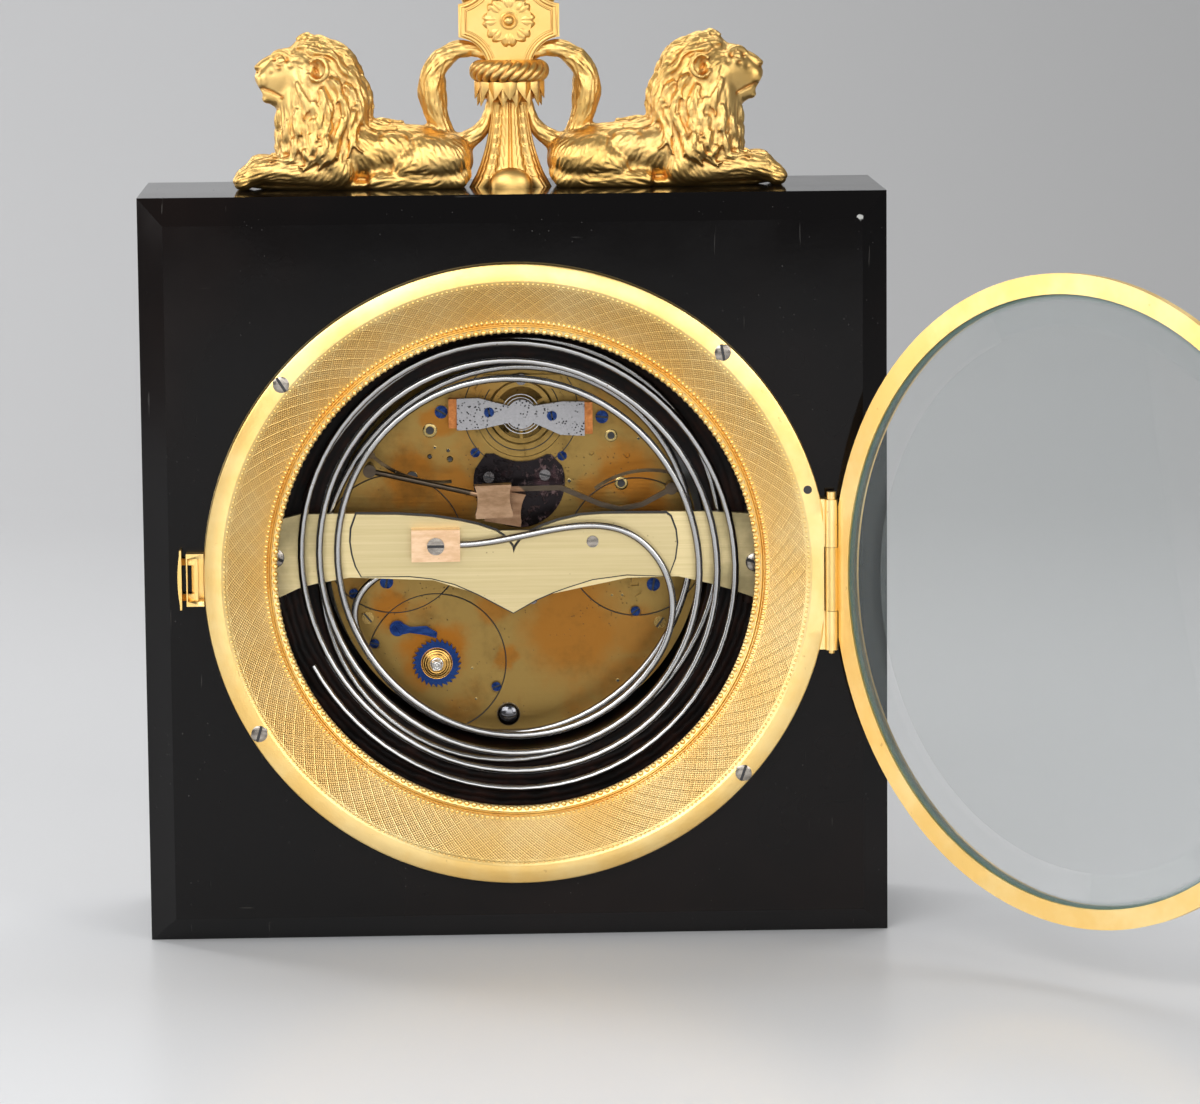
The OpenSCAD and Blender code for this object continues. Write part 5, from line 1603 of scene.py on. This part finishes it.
# Screws with a slot, seen from the rear: x, z, radius of the head, height of its face, turn
SLOTTED = [
    (-18.4, 89.4, 2.0, 17.3, 0), (34, 68.1, 1.4, -2, 306),
    (-34.5, 70.1, 1.4, -2, -310), (-16.7, 118.4, 1.5, -2, -150), (20.8, 116.8, 1.5, -2, 187),
    (-8.9, 108.7, 1.1, -2.4, -44), (11.4, 107.7, 1.1, -2.4, 57), (4.2, 73.9, 1.1, -2.4, 21),
    (-33, 63.9, 1.1, -2.4, -165), (-4.6, 53.3, 1.1, -2.4, -23), (-37.7, 75.9, 1.1, -2.4, -188),
    (28.3, 70.8, 1.1, -2.4, 141), (-5.6, 118.7, 1.15, 2.5, 80), (9, 117.7, 1.15, 2.5, 80),
    (-5.8, 103, 1.3, -1.2, 15), (7.3, 103.4, 1.3, -1.2, 15), (-30, 78.6, 1.55, -1.5, 100),
    (32.5, 77.2, 1.55, -1.5, 100), (2, 125.9, 1.3, -1.0, 30), (-55.6, 86.4, 2.2, 11.6, 20),
    (55.6, 84, 2.2, 11.6, 20),
]
# On the bezels: angle round the dial's middle and turn of the slot. In the strap: x and z
BEZEL_SCREWS = [(140, 238), (47, 80), (-149, -253), (-42, -71)]
BEZEL_SCREW_R = 68.9
STRAP_SCREWS = [(-55.6, 86.4), (55.6, 84)]


class CLOCK_OT_screws(ClockOperator, bpy.types.Operator):
    """Sets slotted heads in the rims, and lays dark bars of painted shade in their slots and in the
    slots of the other screws
    """

    bl_idname = "clock.screws"
    bl_label = "Set the screws"

    def build(self, settings):
        heads, slot_shade = [], []
        for x, z, r, tall, turn in SLOTTED:
            # Dark bars in the slots: painted shade
            slot_shade.append(self.bar(x, z, r, tall - 0.3, turn, 1))
        for side in (1, -1):
            for angle, turn in BEZEL_SCREWS:
                a = math.radians(angle)
                x, z = BEZEL_SCREW_R * math.cos(a), DIAL.z + BEZEL_SCREW_R * math.sin(a)
                heads.append(self.head(x, z, 2.0, side * FACE, turn, side))
                slot_shade.append(self.bar(x, z, 2.0, FACE + 3.6, side * turn, side))
        heads += [self.head(x, z, 2.2, 7.95, 20, 1) for x, z in STRAP_SCREWS]
        heads = smooth(merged(heads, "wood_screw_heads"), 40)
        place(heads, "case", "steel", "screw_steel", "wood_screws")
        place(merged(slot_shade, "slot_shade_bars"), "case", "steel", "black_paint")
        at, radii = (-1.8, 2.0, 46.8), (2.65, 1.4, 2.65)
        dome = shape("uv_sphere", at, radii, segments=40, ring_count=24, radius=1)
        dome.name = "pillar_dome"
        place(smooth(dome, 80), "case", "steel", "dome_steel")

    def bar(self, x, z, r, tall, turn, side):
        """A dark bar of painted shade that lies in a slot, with its face at a height above the
        middle plane.
        """
        at, scale = (x, side * (-tall + 0.1), z), (1.9 * r, 0.2, 0.31 * r)
        return shape("cube", at, scale, about_y(turn), size=1)

    def head(self, x, z, r, y, turn, side):
        """A domed head with a slot cut across it. Its seat is at y, towards the viewer's side."""
        profile = [(0, 1.0), (r, 1.0), (r, 3.45), (r - 0.2, 3.6), (r * 0.5, 3.68), (0, 3.7)]
        head = turned(profile, "head", (0, 0, 0), steps=28)
        cut = shape("cube", (0, -3.7, 0), (3 * r, 1.0, 0.32 * r), about_y(turn), size=1)
        modify(head, "BOOLEAN", object=cut, operation="DIFFERENCE")
        drop(cut)
        if side < 0:
            head.data.transform(Matrix.Rotation(math.pi, 4, "Z"))
        head.data.transform(Matrix.Translation(Vector((x, -y, z)) * MM))
        return head


class CLOCK_OT_stage(ClockOperator, bpy.types.Operator):
    """Sets the floor, backdrop, lights and camera"""

    bl_idname = "clock.stage"
    bl_label = "Set the stage"

    def build(self, settings):
        scene = bpy.context.scene
        scene.view_settings.view_transform = "Standard"
        self.sweep(settings)
        self.lights()
        self.world()
        self.camera(scene)

    def sweep(self, settings):
        """Floor that curves up into a wall, with painted light: darker towards the back and lighter
        on the wall's left. The wall can be seen through from behind.
        """
        profile = [(-2600, 0), (700, 0)]
        for i in range(1, 17):
            a = math.pi / 2 * i / 16
            profile.append((700 + 700 * math.sin(a), 700 * (1 - math.cos(a))))
        profile.append((1400, 2600))
        line = outline([(-3000, y, z) for y, z in profile], "floor")
        floor = edit(
            line,
            ("extrude_region_move", dict(TRANSFORM_OT_translate=dict(value=(6, 0, 0)))),
            ("normals_make_consistent", dict(inside=False)),
        )
        s = Shade("floor_paper")
        # Painted light: the wall is lighter towards the left, and the floor fades into the darker
        # wall towards the back
        wall = s.mix(s.x.step(0.5, -0.3), tuple(settings.backdrop), (0.54, 0.54, 0.545))
        tone = s.mix(s.y.step(-0.35, 0.9), tuple(settings.floor), wall)
        speck = s.noise(900, 3)
        s.done(
            Base_Color=tone,
            Roughness=speck * 0.1 + 0.28,
            Normal=s.bump(speck, 0.0001, 0.1),
            Specular_IOR_Level=0.35,
        )
        behind = s.value("NewGeometry", {}, output="Backfacing")
        clear = s.value("BsdfTransparent", {})
        paper = Value(s, s.surface.outputs[0])
        s.feed(s.out.inputs["Surface"], s.value("MixShader", {0: behind, 1: paper, 2: clear}))
        # The largest face is the level one. The faces' order isn't the same in every run.
        if max(floor.data.polygons, key=lambda face: face.area).normal.z < 0:
            floor.data.flip_normals()
        floor.data.materials.append(s.material)
        smooth(floor, 60)

    def lights(self):
        """Softboxes: high on the left, above and behind, in front, on both sides, and a strip."""
        # Name, place, width, height, power and the point that it faces, in metres and watts
        boxes = (
            ("key", (-0.7, -1.35, 1.0), 1.3, 0.9, 17.0, (0, 0, 0.10)),
            ("top", (0.05, 0.55, 1.25), 1.3, 0.6, 9.0, (0, 0, 0.1)),
            ("front", (0.15, -1.9, 0.5), 1.3, 0.8, 8.0, (0, 0, 0.12)),
            ("side", (-1.1, -0.2, 0.32), 0.6, 0.5, 3.4, (0.12, -0.09, 0.09)),
            ("fill", (1.05, -1.25, 0.75), 0.8, 0.9, 9.0, (0, 0, 0.10)),
            ("strip", (-0.9, 0.7, 0.7), 0.3, 1.0, 5.0, (0, 0, 0.15)),
        )
        for name, at, wide, tall, power, aim in boxes:
            lamp = bpy.data.lights.new(name, "AREA")
            lamp.shape, lamp.size, lamp.size_y, lamp.energy = "RECTANGLE", wide, tall, power
            light = linked(name, lamp)
            light.location = at
            light.rotation_euler = (Vector(aim) - Vector(at)).to_track_quat("-Z", "Y").to_euler()

    def world(self):
        """Soft, slightly cool light from all around."""
        world = bpy.data.worlds.new("studio")
        bpy.context.scene.world = world
        world.use_nodes = True
        ground = world.node_tree.nodes["Background"]
        ground.inputs["Color"].default_value = (0.9, 0.92, 0.95, 1)
        ground.inputs["Strength"].default_value = 0.22

    def camera(self, scene):
        """The photograph's viewing angle. The angles are in degrees."""
        lens = bpy.data.cameras.new("camera")
        lens.lens, lens.sensor_width, lens.clip_start = 157.35, 36, 0.05
        camera = linked("camera", lens)
        camera.location = Vector((-18.6, -1214.3, 254.7)) * MM
        yaw, pitch, roll = (math.radians(a) for a in (1.82, 7.94, -0.51))
        level = math.cos(pitch)
        ahead = Vector((math.sin(yaw) * level, math.cos(yaw) * level, -math.sin(pitch)))
        right = Vector((math.cos(yaw), -math.sin(yaw), 0))
        up = right.cross(ahead)
        tilted = math.cos(roll) * right + math.sin(roll) * up
        upright = -math.sin(roll) * right + math.cos(roll) * up
        camera.rotation_euler = Matrix((tilted, upright, -ahead)).transposed().to_euler()
        scene.camera = camera


class CLOCK_PT_panel(bpy.types.Panel):
    """Lists the steps and the sizes in the sidebar"""

    bl_idname = "CLOCK_PT_panel"
    bl_label = "Travel clock"
    bl_space_type = "VIEW_3D"
    bl_region_type = "UI"
    bl_category = "Clock"

    def draw(self, context):
        for step in STEPS:
            self.layout.operator(step.bl_idname)
        for name in ClockSettings.__annotations__:
            self.layout.prop(context.scene.travel_clock, name)


STEPS = [
    CLOCK_OT_stage,
    CLOCK_OT_finishes,
    CLOCK_OT_gongs,
    CLOCK_OT_bezel_beads,
    CLOCK_OT_collar,
    CLOCK_OT_lions,
    CLOCK_OT_shaft,
    CLOCK_OT_plaque,
    CLOCK_OT_dial,
    CLOCK_OT_plate_marks,
    CLOCK_OT_catch,
    CLOCK_OT_rims,
    CLOCK_OT_screws,
]


def register():
    for kind in (ClockSettings, *STEPS, CLOCK_PT_panel):
        bpy.utils.register_class(kind)
    bpy.types.Scene.travel_clock = PointerProperty(type=ClockSettings)


def unregister():
    del bpy.types.Scene.travel_clock
    for kind in reversed((ClockSettings, *STEPS, CLOCK_PT_panel)):
        bpy.utils.unregister_class(kind)


def main():
    register()
    for step in STEPS:
        getattr(bpy.ops.clock, step.bl_idname.split(".")[1])()


if __name__ == "__main__":
    main()
